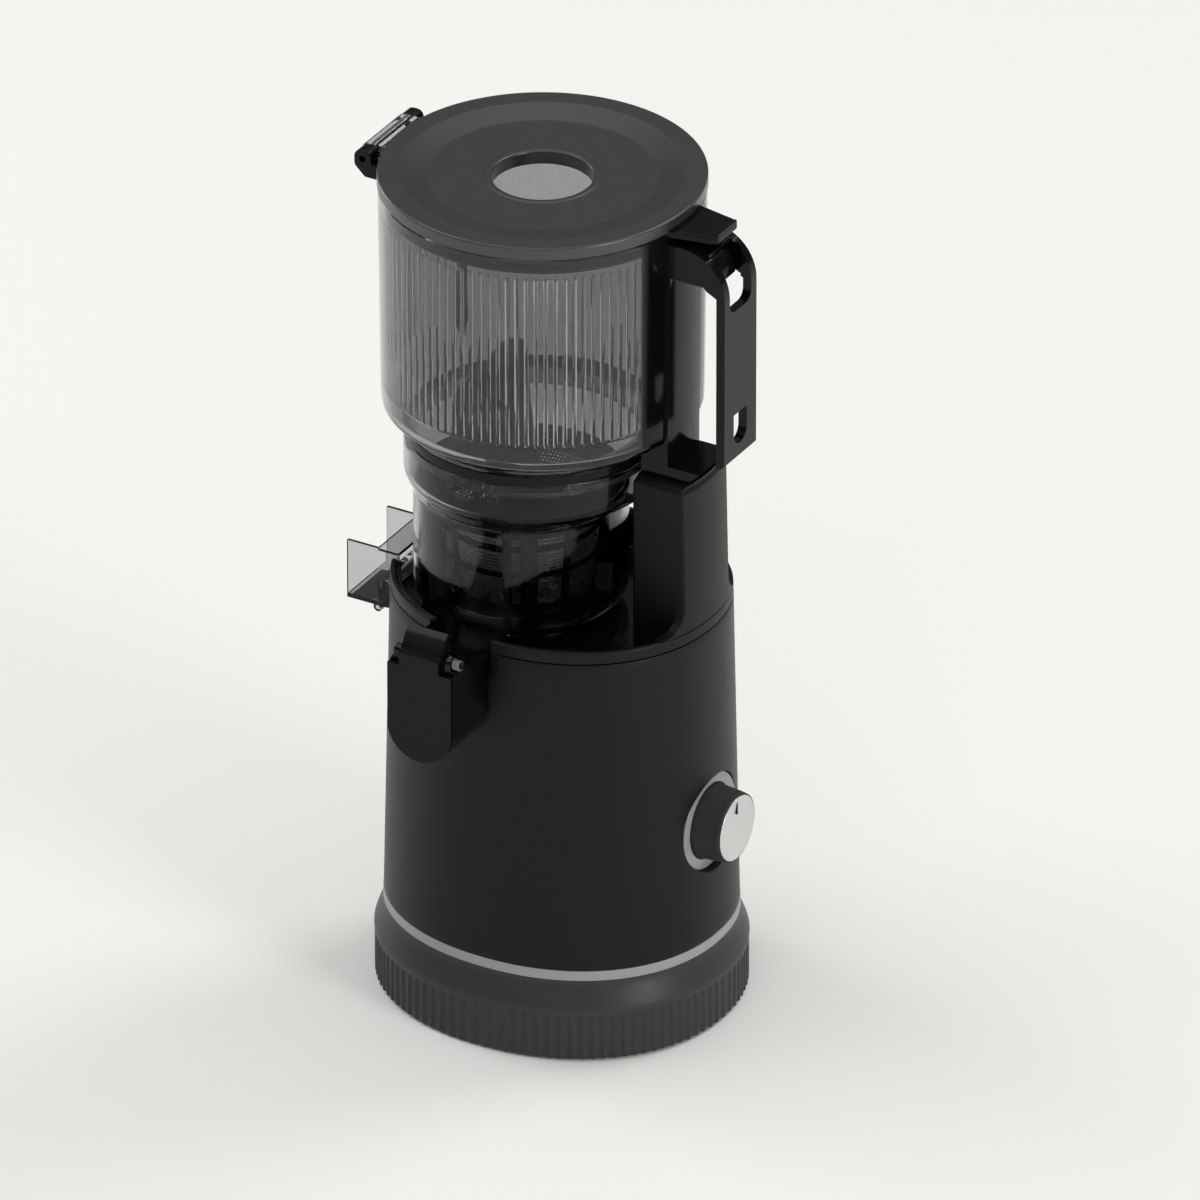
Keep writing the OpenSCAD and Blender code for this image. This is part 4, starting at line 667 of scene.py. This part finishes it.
def make_knob(mats):
    """Knob: barrel narrowing from r0 to r1 with 72 ridges, a flat bezel round it and a spun cap with a hand."""
    x0, r0, r1, x1, ridge_n = KNOB_X + 0.3, 21.0, 19.75, node_box("knob")[1][0], 72
    face = x1 - 2.4
    bezel = rounded([(KNOB_X - 0.05, 27.5, 0), (KNOB_X + 1.2, 27.5, 0.4), (KNOB_X + 1.2, 21.6, 0.4),
                     (KNOB_X - 0.05, 21.6, 0)])
    ring = joined("bezel_ring", [turned_x("bezel", bezel)], "base", mats["trim"])
    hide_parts("knob_bezel")
    prof = rounded([(x0, 7.0, 0), (x0, r0, 0.5), (face - 0.5, r1, 0.25), (face - 0.5, 19.3, 0.15),
                    (face + 0.1, 19.3, 0.15), (face + 0.1, 19.7, 0.2), (x1, 19.3, 0.5), (x1, 18.65, 0.2),
                    (x1 - 2.2, 18.6, 0), (x1 - 2.2, 7.0, 0)], steps=4)
    along = np.linspace(x0 + 1.0, face - 1.2, 14)
    fine = np.vstack([prof[:7], np.stack([along, np.interp(along, [x0, face], [r0, r1])], 1), prof[7:]])
    fine = fine[np.sort(np.unique(fine.round(4), axis=0, return_index=True)[1])]

    def ridges(t, x):
        """Depth of the ridges: a cosine round the barrel, faded in and out along it."""
        zone = np.clip((x - x0 - 0.9) / 0.6, 0, 1) * np.clip((face - 1.0 - x) / 0.6, 0, 1)
        return 0.42 * zone * (0.5 - 0.5 * np.cos(t * ridge_n))

    barrel = joined("knob_barrel", [turned_x("barrel", fine, ridge_n * 8, ridges)], "knob_body", mats["rubber"],
                    sharp=50, even=False)
    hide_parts("knob")
    cap = rounded([(x1 - 2.0, 18.5, 0), (x1 + 0.35, 18.5, 0.3), (x1 + 0.35, 17.9, 0.3), (x1 - 0.9, 2.5, 3.0),
                   (x1 - 0.95, 0.02, 0), (x1 - 2.0, 0.02, 0)], steps=6)
    disc = joined("spun_cap", [turned_x("cap", cap, 160)], "knob_body", mats["turned"])
    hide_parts("knob_cap")
    tree = mats["turned"].node_tree
    grain = wire(tree, "Tangent", direction_type="RADIAL", axis="X").outputs[0]
    tree.links.new(grain, shader_of(mats["turned"]).inputs["Tangent"])
    near, far = KNOB_Z + 8.4, KNOB_Z + 15.8
    hand = rounded([(-0.55, near, 0.5), (0.55, near, 0.5), (0.55, far, 0.5), (-0.55, far, 0.5)])
    mark = plate("hand", hand, x1 - 1.1, x1 + 0.35, edge=0.15, plane="yz")
    joined("cap_pointer", [mark], "knob_body", mats["gloss"])


def ring_grid(rows, angles):
    """Rings (z, centre x, radius) as a grid over the given angles: x = c + r cos a, y = r sin a."""
    z, c, r = np.array(rows, float).T
    return np.stack([c + np.cos(angles)[:, None] * r, np.sin(angles)[:, None] * r,
                     np.broadcast_to(z, (len(angles), len(z)))], -1)


def at(x, *rings):
    """Rows (z, centre x, radius) of rings (z, radius) about one axis."""
    return [(z, x, r) for z, r in rings]


def eased(a, b, n):
    """n steps of smoothstep from 0 to 1 between rows a and b, linear in the first column."""
    s = np.linspace(0, 1, n)[:, None]
    a, b = np.array(a, float), np.array(b, float)
    out = a + (b - a) * smooth(s)
    out[:, 0] = (a + (b - a) * s)[:, 0]
    return out


def make_drum(mats):
    """Drum: rings that slide from the cup's axis to the mouth's while widening, inside offset by the wall."""
    out_r, in_r, floor_z, bottom_z = 58, 55.5, 232.5, 230
    up, down = math.asin(12 / in_r), math.asin(28 / in_r)
    a = with_lines(np.linspace(-math.pi, math.pi, 181)[:-1],
                   [-math.pi / 2 - math.asin(8.4 / in_r), -math.pi / 2 + math.asin(26.4 / in_r),
                    math.pi - up, -math.pi + down])

    def corner(r, z0, rad, n=9):
        """Rings of the quarter round between the bottom and the wall."""
        t = np.linspace(0, math.pi / 2, n)
        return np.stack([z0 + rad - rad * np.cos(t), np.full(n, DRUM_X), r - rad + rad * np.sin(t)], 1)

    rows = np.vstack([
        at(DRUM_X, (bottom_z, 8.2), (bottom_z, 20)), corner(out_r, bottom_z, 10),
        at(DRUM_X, (242.8, out_r), (248, out_r), (270, out_r), (294, out_r)),
        eased((296.0, DRUM_X, out_r), (313.0, COLLAR_X, 70), 12),
        at(COLLAR_X, (316, 70), (325, 70), (333.2, 70), (333.8, 69.6)),
        at(COLLAR_X, (334, 69.0), (334, 68.0), (333.4, 67.5), (325, 67.5)),
        eased((314.5, COLLAR_X, 67.5), (300.6, DRUM_X + 1, 58.4), 10), at(DRUM_X + 0.4, (300, 57.8)),
        at(DRUM_X, (300, 56.0), (299.5, in_r), (270, in_r), (248, in_r), (242.8, in_r)),
        corner(in_r, floor_z, 6)[::-1], at(DRUM_X, (floor_z, 20), (floor_z, 10.2), (242, 10), (242, 8.2))])
    mid = middles(a)
    _, zmid, rmid = ((rows + np.roll(rows, -1, 0)) / 2).T[[1, 0, 2], None, :]
    wall = (rmid > in_r - 2) & (zmid > floor_z - 1)
    spout_top, chute_top = 242.7, 247
    spout_mid, spout_half = math.radians(10) - math.pi / 2, math.radians(18.5)
    spout = (np.cos(mid - spout_mid) > math.cos(spout_half)) & (zmid < spout_top) & wall
    chute = ((mid > math.pi - up) | (mid < -math.pi + down)) & (zmid < chute_top) & wall
    cup = grid_mesh("cup", ring_grid(rows, a), "uv", keep=~(spout | chute))
    obj = joined("drum_shell", [cup], "drum_body", mats["drum"], sharp=60)
    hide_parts("drum")
    below = ((0, 0, 256), (0, 0, -1))
    for name, side, mat in (("spout_body", ((0, -59.6, 0), (0, -1, 0)), "drum"),
                            ("chute_body", ((-84.2, 0, 0), (-1, 0, 0)), "chute")):
        edged_copy(name, "drum", "drum_body", mats[mat], 0.5, 2, (side, below))
    x0, x1, z0, z1 = -35.6, 3.6, 228.9, 245.0
    ring, core = (rounded([(x0 + t, z0 + t, 0.6), (x1 - t, z0 + t, 0.6), (x1 - t, z1 - t, 0.6),
                           (x0 + t, z1 - t, 0.6)], steps=3) for t in (0, 2.2))
    pts = np.stack([np.stack([r[:, 0], np.full(len(r), y), r[:, 1]], 1)
                    for r, y in ((ring, -59.5), (ring, -50.5), (core, -50.5), (core, -59.5))])
    joined("spout_neck", [grid_mesh("spout_neck", pts, "uv")], "drum_body", mats["drum"])


def make_hopper(mats):
    """Hopper: cone from the mouth's axis to its own, then a wall whose inside carries ribs.

    The 44 degrees of wall behind the handle are opaque black.
    Inner radius = wall - depth * pulse(angle) between the ribs' ends, where each rib takes one step of
    height 1 with a step of 0.8 on either side, and the rest of its cells are 0.
    """
    n, depth, cells = sizes().rib_count, sizes().rib_depth / MM, 8
    black_from, black_half = 357, 22
    a = circle(n * cells)
    pulse = np.tile([1, 0.8, 0, 0, 0, 0, 0, 0.8], n)[:, None]
    outer = np.vstack([at(COLLAR_X, (326, 66.8), (340, 66.8), (340.0, 69.6), (340.4, 70.0)),
                       eased((341.0, COLLAR_X + 0.2, 70.6), (356.0, HOPPER_X, 86.4), 9)[1:-1],
                       at(HOPPER_X, (355.4, 86.0), (357.5, 86.6), (370, 86.75), (420, 87.3), (470, 87.85),
                          (481.8, 88.0), (482.4, 87.6))])
    inner = at(HOPPER_X, (482.4, 84.4), (481.9, 84.0), (471.0, 84.0), (470.0, 83.8), (468.5, 83.8), (445, 83.8),
               (420, 83.8), (395, 83.8), (369, 83.8), (367.4, 83.6), (366.4, 82.8), (358.5, 82.7))
    cone = eased((357.5, HOPPER_X, 82.4), (339.0, -21, 61.9), 9)
    rows = np.vstack([outer, inner, cone, [(337.5, -21, 61.6), (326.4, -21, 61.6), (326.0, -20.5, 62.2)]])
    pts = ring_grid(rows, a)
    ribbed = slice(len(outer) + 4, len(outer) + 9)
    pts[:, ribbed, 0] -= np.cos(a)[:, None] * depth * pulse
    pts[:, ribbed, 1] -= np.sin(a)[:, None] * depth * pulse
    shell = joined("hopper_shell", [grid_mesh("hopper", pts, "uv")], "hopper_body",
                   mats["smoke"], sharp=28)
    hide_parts("hopper")
    shell.data.materials.append(mats["gloss"])
    for face in shell.data.polygons:
        x, y, z = face.center / MM
        turn = abs(math.degrees(math.atan2(y, x - HOPPER_X)))
        if z > black_from and x > HOPPER_X and turn < black_half:
            face.material_index = 1
    prof = rounded([(-111.5, 479.5, 4), (-105.0, 473.4, 2), (-94.5, 473.4, 1), (-94.5, 481.0, 1), (-100.6, 481.6, 1),
                    (-101.0, 489.2, 4.6), (-111.6, 489.2, 5.2)], steps=7)
    for name, y in (("hinge_lug_left", -24), ("hinge_lug_right", 24)):
        joined(name, [plate("lug", prof, y - 4, y + 4, edge=0.6)], "hopper_body", mats["gloss"])


def make_lid(mats):
    """Lid: turned plate with a shallow dish, soft rolled edges and a lip round the feed hole."""
    z1 = node_box("lid")[1][2]
    zb, r = z1 - 7.3, 88.3
    prof = rounded([(r, zb, 0.6), (r, z1, 1.2), (76.6, z1, 2.6), (62.0, z1 - 3.4, 7.0), (31.5, z1 - 3.4, 1.5),
                    (30.2, z1 - 2.9, 1.0), (27.1, z1 - 3.1, 1.2), (27.1, z1 - 11.1, 0.5), (29.3, z1 - 11.1, 0.5),
                    (29.3, z1 - 6.4, 1.0), (62.0, z1 - 6.4, 3.0), (76.0, z1 - 3.6, 3.0), (81.0, z1 - 3.6, 0.8),
                    (81.0, zb - 10, 0.5), (83.2, zb - 10, 0.5), (83.2, zb, 0)], steps=8)
    tab = rounded([(72.8, -17.3, 0), (98.5, -12.6, 2.5), (102.0, -10.5, 2.0), (102.0, 10.5, 2.0), (98.5, 12.6, 2.5),
                   (72.8, 17.3, 0)], steps=5)
    nose = plate("tab", tab, zb - 2.5, zb + 1.8, edge=0.9, plane="xy")
    lip = rounded([(99.2, zb + 1.2, 0.3), (102.0, zb + 1.2, 0.5), (102.0, zb + 3.4, 0.7), (100.6, zb + 3.2, 0.6)],
                  steps=4)
    curb = plate("lip", lip, -10.2, 10.2, edge=0.6)
    obj = joined("lid_disc", [turned("lid", prof, HOPPER_X, 192)], "lid_body", mats["lid"], sharp=50)
    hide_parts("lid")
    joined("latch_tab", [nose, curb], "lid_body", mats["gloss"])
    leaf = rounded([(-111.4, 482.0, 4.5), (-104.0, 480.2, 3.0), (-97.6, 483.6, 1.0), (-97.0, 489.3, 1.4),
                    (-106.0, 489.4, 3.0), (-111.5, 488.2, 3.0)], steps=7)
    joined("hinge_leaf", [plate("leaf", leaf, -19.4, 19.4, edge=0.8)], "lid_body", mats["chute"])


def make_screw(mats):
    """Feed screw: radius = core(z) + flight * pulse(angle - turn(z)), a two-start thread over a narrowing core."""
    foot, head, flight_r, root = 243.4, 300.5, 38, 0.05
    a = circle(120)
    z = np.linspace(foot, head, 90)
    s = (z - foot) / (head - foot)
    core = 20 - 9 * s
    turn = np.radians(WING_TURN - 420 * (1 - s))
    rel = np.abs((a[:, None] - turn[None, :] + math.pi / 2) % math.pi - math.pi / 2)
    half = 2.6 / flight_r + 0.02
    pulse = smooth(np.clip((half * 2.0 - rel) / half, 0, 1))
    r = core + (flight_r - core) * pulse
    thread = np.stack([DRUM_X + np.cos(a)[:, None] * r, np.sin(a)[:, None] * r, np.broadcast_to(z, r.shape)], -1)
    socket = ring_grid(at(DRUM_X, (272.0, root), (272.0, 9.0), (244.0, 9.0), (244.0, 10.4), (236.0, 10.4),
                          (236.0, 12.8), (243.3, 12.8)), a)
    top = ring_grid(at(DRUM_X, (301.5, 6.0), (303.0, root)), a)
    screw = grid_mesh("screw", np.concatenate([socket, thread, top], 1), "u")
    wing = rounded([(-8, 299, 1), (37, 299, 1), (37, 351, 7), (8, 384.6, 6), (-3, 384.6, 3)], steps=7)
    blade = plate("blade", wing, -3, 3, edge=1.6)
    x, y, up = (np.array([v.co for v in blade.vertices]) / MM).T
    c, s = math.cos(math.radians(WING_TURN)), math.sin(math.radians(WING_TURN))
    blade.vertices.foreach_set("co", (np.stack([DRUM_X + x * c - y * s, x * s + y * c, up], 1) * MM).ravel())
    blade.update()
    hub = grid_mesh("hub", ring_grid(at(DRUM_X, (299, 10.6), (320, 8.0), (350, 5.0), (366, 3.2), (367, root)), a),
                    "u")
    share = np.array([-0.223, -0.18, -0.094, 0.094, 0.18, 0.223])
    gear_t = ((np.arange(GEAR_N)[:, None] + share).ravel() / GEAR_N * 2 + 0.5) * math.pi
    tooth = np.tile([13.35, 15.0, 16.05, 16.05, 15.0, 13.35], GEAR_N)
    gear = [np.column_stack([DRUM_X + np.cos(gear_t) * q, np.sin(gear_t) * q, np.full(len(gear_t), zz)])
            for q, zz in ((10.4, 233.1), (tooth - 0.3, 233.1), (tooth, 233.4), (tooth, 237.8), (tooth - 0.3, 238.1),
                          (10.4, 238.1))]
    wheel = grid_mesh("wheel", np.stack(gear, 1), "uv")
    joined("feed_screw", [screw], "auger_body", mats["filter"], sharp=45, even=False)
    blade_obj = joined("feed_wing", [blade], "auger_body", mats["filter"])
    joined("wing_hub", [hub], "auger_body", mats["filter"], even=False)
    joined("screw_gear", [wheel], "auger_body", mats["filter"])
    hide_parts("auger")


def make_strainer(mats):
    """Strainer wall: a narrowing sheet whose grid drops every other cell, in staggered rows, as its holes."""
    nu, nv, plain = 264, 52, 2
    a = circle(nu)
    z = np.linspace(242.6, 299.9, nv + 1)
    rows = np.column_stack([z, np.full(nv + 1, DRUM_X), 40 + 6 * (z - 240) / 60 - 0.75])
    i, j = np.meshgrid(np.arange(nu), np.arange(nv), indexing="ij")
    hole = ((i + (j // 2 % 2)) % 2 == 0) & (j % 2 == 0) & (j > plain) & (j < nv - 1 - plain)
    sheet = grid_mesh("sheet", ring_grid(rows, a), "u", keep=~hole)
    obj = joined("strainer_sheet", [sheet], "filter_body", mats["steel"], even=False)
    thicken(obj, 0.4, 0)
    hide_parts("strainer_mesh")


def dress_small_parts(mats):
    """Handle, lever, flap, plug, fin, lock ring and frames: construction copies with rounded edges."""
    for node, body, mat, slot, edge in (
            ("handle", "hopper_body", "gloss", "gloss_black", 0.9),
            ("latch_lever", "latch_body", "gloss", "gloss_black", 0.8),
            ("spout_flap", "flap_body", "gloss", "gloss_black", 0.8),
            ("pulp_plug", "plug_body", "rubber", "rubber_black", 0.6),
            ("guide_fin", "hopper_body", "filter", "gloss_black", 0.7),
            ("lock_ring", "hopper_body", "gloss", "gloss_black", 0.5),
            ("strainer_frame", "filter_body", "filter", "gloss_black", 0.35),
            ("brush_frame", "brush_body", "filter", "gloss_black", 0.4)):
        obj = edged_copy(node + "_dressed", node, body, mats[mat], edge)
        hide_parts(node)


def paint_construction(mats):
    """Gives every construction node a procedural finish, gloss black where the table names none."""
    table = {
        "rubber": "rubber_feet motor_mounts shaft_seal drum_seal flap_seal brush_wipers lid_gasket",
        "steel": "base_screws motor_bearings rotor rotor_shaft gearbox_screws layshaft_pinion drive_shaft "
                 "shaft_bearings idler_pins plug_pin strainer_mesh auger_bush hinge_pin latch_pin knob_shaft",
        "can": "motor_can motor_cap flap_spring", "copper": "motor_stator", "cast": "gearbox_case gearbox_lid",
        "gear": "layshaft_wheel output_wheel idler_left idler_right selector_switch",
        "board": "control_board", "plinth": "foot_ring base_plate", "trim": "trim_ring knob_bezel",
        "casing": "body_housing rim_band column", "lid": "lid", "smoke": "hopper", "drum": "drum",
        "turned": "knob_cap", "filter": "strainer_frame brush_frame auger guide_fin",
    }
    finish_of = {node: key for key, nodes in table.items() for node in nodes.split()}
    for node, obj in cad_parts.items():
        obj.data.materials.clear()
        obj.data.materials.append(mats[finish_of.get(node, "gloss")])


def make_stage(mats):
    """Wide pale floor, a sky bright overhead and dark low down, five soft lamps and the camera."""
    radii = (0.001, 1.0, 6.0, 50.0)
    turn = circle(64)
    pts = np.stack([np.stack([r * np.cos(turn), r * np.sin(turn), 0 * turn], 1) for r in radii], 1)
    mesh = grid_mesh("floor", pts / MM, "u")
    mesh.polygons.foreach_set("use_smooth", np.ones(len(mesh.polygons), bool))
    floor = linked("studio_floor", mesh)
    paper = bpy.data.materials.new("studio paper")
    paper.use_nodes = True
    for key, value in (("Base Color", (0.86, 0.86, 0.84, 1)), ("Roughness", 0.9), ("Specular IOR Level", 0.1)):
        shader_of(paper).inputs[key].default_value = value
    mesh.materials.append(paper)
    world = bpy.data.worlds.new("studio")
    bpy.context.scene.world = world
    world.use_nodes = True
    tree = world.node_tree
    height = wire(tree, "SeparateXYZ", {0: wire(tree, "TexCoord").outputs["Generated"]})
    level = wire(tree, "MapRange", {"Value": height.outputs["Z"], "From Min": 0.45, "From Max": 0.9,
                                    "To Min": 0.12, "To Max": 0.95})
    tree.links.new(level.outputs[0], tree.nodes["Background"].inputs["Strength"])
    tree.nodes["Background"].inputs["Color"].default_value = (1.0, 1.0, 0.985, 1)
    # Name, angle round the machine in degrees, distance and height, width and height of the lamp in metres, watts.
    for name, az, dist, up, wide, tall, power in (
            ("key", 200, 3.2, 3.9, 3.0, 3.0, 52.0), ("band", -16, 3.2, 1.1, 1.0, 1.9, 46.0),
            ("edge", 172, 3.2, 1.0, 0.9, 1.7, 22.0), ("fill", -75, 3.7, 3.2, 2.4, 2.4, 17.0),
            ("back", 60, 2.9, 3.6, 1.5, 1.5, 44.0)):
        lamp = bpy.data.lights.new(name, "AREA")
        lamp.shape, lamp.size, lamp.size_y, lamp.energy = "RECTANGLE", wide, tall, power
        a = math.radians(az)
        point_at(linked(name, lamp), (dist * math.cos(a), dist * math.sin(a), up), (0.0, 0.0, 0.2))
    camera = bpy.data.cameras.new("camera")
    camera.sensor_width, camera.lens = 36.0, 782.8
    camera.clip_start, camera.clip_end = 1.0, 60.0
    eye = linked("camera", camera)
    az, el, dist = math.radians(30), math.radians(29.3), 14.0
    right, up = 20.6, 230.8
    target = np.array([right * math.cos(az), right * math.sin(az), up]) * MM
    away = np.array([math.sin(az) * math.cos(el), -math.cos(az) * math.cos(el), math.sin(el)])
    point_at(eye, tuple(target + away * dist), tuple(target))
    bpy.context.scene.camera = eye
    bpy.context.scene.view_settings.view_transform = "Standard"


def point_at(obj, place, aim):
    """Puts a light or camera at a place and turns its -Z axis to the aim."""
    obj.location = place
    obj.rotation_euler = (Vector(aim) - Vector(place)).to_track_quat("-Z", "Y").to_euler()


# Operators and panel

MATERIALS = {}


def built(work):
    """Runs one piece's function with the shared materials, which are made at the first call."""
    if not MATERIALS:
        MATERIALS.update(make_finishes())
    work(MATERIALS)
    return {"FINISHED"}


class JUICER_OT_paint(bpy.types.Operator):
    """Gives every construction node its procedural finish"""
    bl_idname = "juicer.paint"
    bl_label = "Paint construction"

    def execute(self, context):
        return built(paint_construction)


class JUICER_OT_plinth(bpy.types.Operator):
    """Builds the fluted plinth"""
    bl_idname = "juicer.plinth"
    bl_label = "Plinth"

    def execute(self, context):
        return built(make_plinth)


class JUICER_OT_trim(bpy.types.Operator):
    """Builds the pale ring over the plinth"""
    bl_idname = "juicer.trim"
    bl_label = "Trim ring"

    def execute(self, context):
        return built(make_trim)


class JUICER_OT_casing(bpy.types.Operator):
    """Builds the oval casing with the knob's pocket"""
    bl_idname = "juicer.casing"
    bl_label = "Casing"

    def execute(self, context):
        return built(make_casing)


class JUICER_OT_rim(bpy.types.Operator):
    """Builds the band round the casing's rim"""
    bl_idname = "juicer.rim"
    bl_label = "Rim band"

    def execute(self, context):
        return built(make_rim)


class JUICER_OT_deck(bpy.types.Operator):
    """Builds the deck inside the rim"""
    bl_idname = "juicer.deck"
    bl_label = "Deck"

    def execute(self, context):
        return built(make_deck)


class JUICER_OT_column(bpy.types.Operator):
    """Builds the column that flares into the rim"""
    bl_idname = "juicer.column"
    bl_label = "Column"

    def execute(self, context):
        return built(make_column)


class JUICER_OT_knob(bpy.types.Operator):
    """Builds the knob, its bezel, cap and hand"""
    bl_idname = "juicer.knob"
    bl_label = "Knob"

    def execute(self, context):
        return built(make_knob)


class JUICER_OT_drum(bpy.types.Operator):
    """Builds the clear drum with its spout and chute"""
    bl_idname = "juicer.drum"
    bl_label = "Drum"

    def execute(self, context):
        return built(make_drum)


class JUICER_OT_hopper(bpy.types.Operator):
    """Builds the ribbed clear hopper"""
    bl_idname = "juicer.hopper"
    bl_label = "Hopper"

    def execute(self, context):
        return built(make_hopper)


class JUICER_OT_lid(bpy.types.Operator):
    """Builds the lid with its latch tab and hinge leaf"""
    bl_idname = "juicer.lid"
    bl_label = "Lid"

    def execute(self, context):
        return built(make_lid)


class JUICER_OT_screw(bpy.types.Operator):
    """Builds the feed screw and its wing"""
    bl_idname = "juicer.screw"
    bl_label = "Feed screw"

    def execute(self, context):
        return built(make_screw)


class JUICER_OT_strainer(bpy.types.Operator):
    """Builds the perforated strainer wall"""
    bl_idname = "juicer.strainer"
    bl_label = "Strainer"

    def execute(self, context):
        return built(make_strainer)


class JUICER_OT_small(bpy.types.Operator):
    """Rounds the edges of the handle, flap, plug and frames"""
    bl_idname = "juicer.small"
    bl_label = "Small parts"

    def execute(self, context):
        return built(dress_small_parts)


class JUICER_OT_stage(bpy.types.Operator):
    """Builds the floor, the light and the camera"""
    bl_idname = "juicer.stage"
    bl_label = "Studio"

    def execute(self, context):
        return built(make_stage)


STEPS = (JUICER_OT_paint, JUICER_OT_plinth, JUICER_OT_trim, JUICER_OT_casing,
         JUICER_OT_rim, JUICER_OT_deck, JUICER_OT_column, JUICER_OT_knob,
         JUICER_OT_drum, JUICER_OT_hopper, JUICER_OT_lid, JUICER_OT_screw,
         JUICER_OT_strainer, JUICER_OT_small, JUICER_OT_stage)


class JUICER_PT_panel(bpy.types.Panel):
    """Sizes, colours and build steps of the juicer."""
    bl_label = "Juicer"
    bl_idname = "JUICER_PT_panel"
    bl_space_type = "VIEW_3D"
    bl_region_type = "UI"
    bl_category = "Juicer"

    def draw(self, context):
        layout = self.layout
        for group in (context.scene.juicer_sizes, context.scene.juicer_finish):
            box = layout.box()
            for prop in group.bl_rna.properties:
                if prop.identifier not in ("name", "rna_type"):
                    box.prop(group, prop.identifier)
        for step in STEPS:
            layout.operator(step.bl_idname)


def register():
    """Registers the property groups, operators and panel."""
    for cls in (JuicerSizes, JuicerFinish, *STEPS, JUICER_PT_panel):
        bpy.utils.register_class(cls)
    bpy.types.Scene.juicer_sizes = PointerProperty(type=JuicerSizes)
    bpy.types.Scene.juicer_finish = PointerProperty(type=JuicerFinish)


def unregister():
    """Takes the classes and scene properties away again."""
    del bpy.types.Scene.juicer_finish
    del bpy.types.Scene.juicer_sizes
    for cls in (JUICER_PT_panel, *reversed(STEPS), JuicerFinish, JuicerSizes):
        bpy.utils.unregister_class(cls)


def main():
    """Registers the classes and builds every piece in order."""
    register()
    for step in STEPS:
        getattr(bpy.ops.juicer, step.bl_idname.split(".")[1])()


if __name__ == "__main__":
    main()
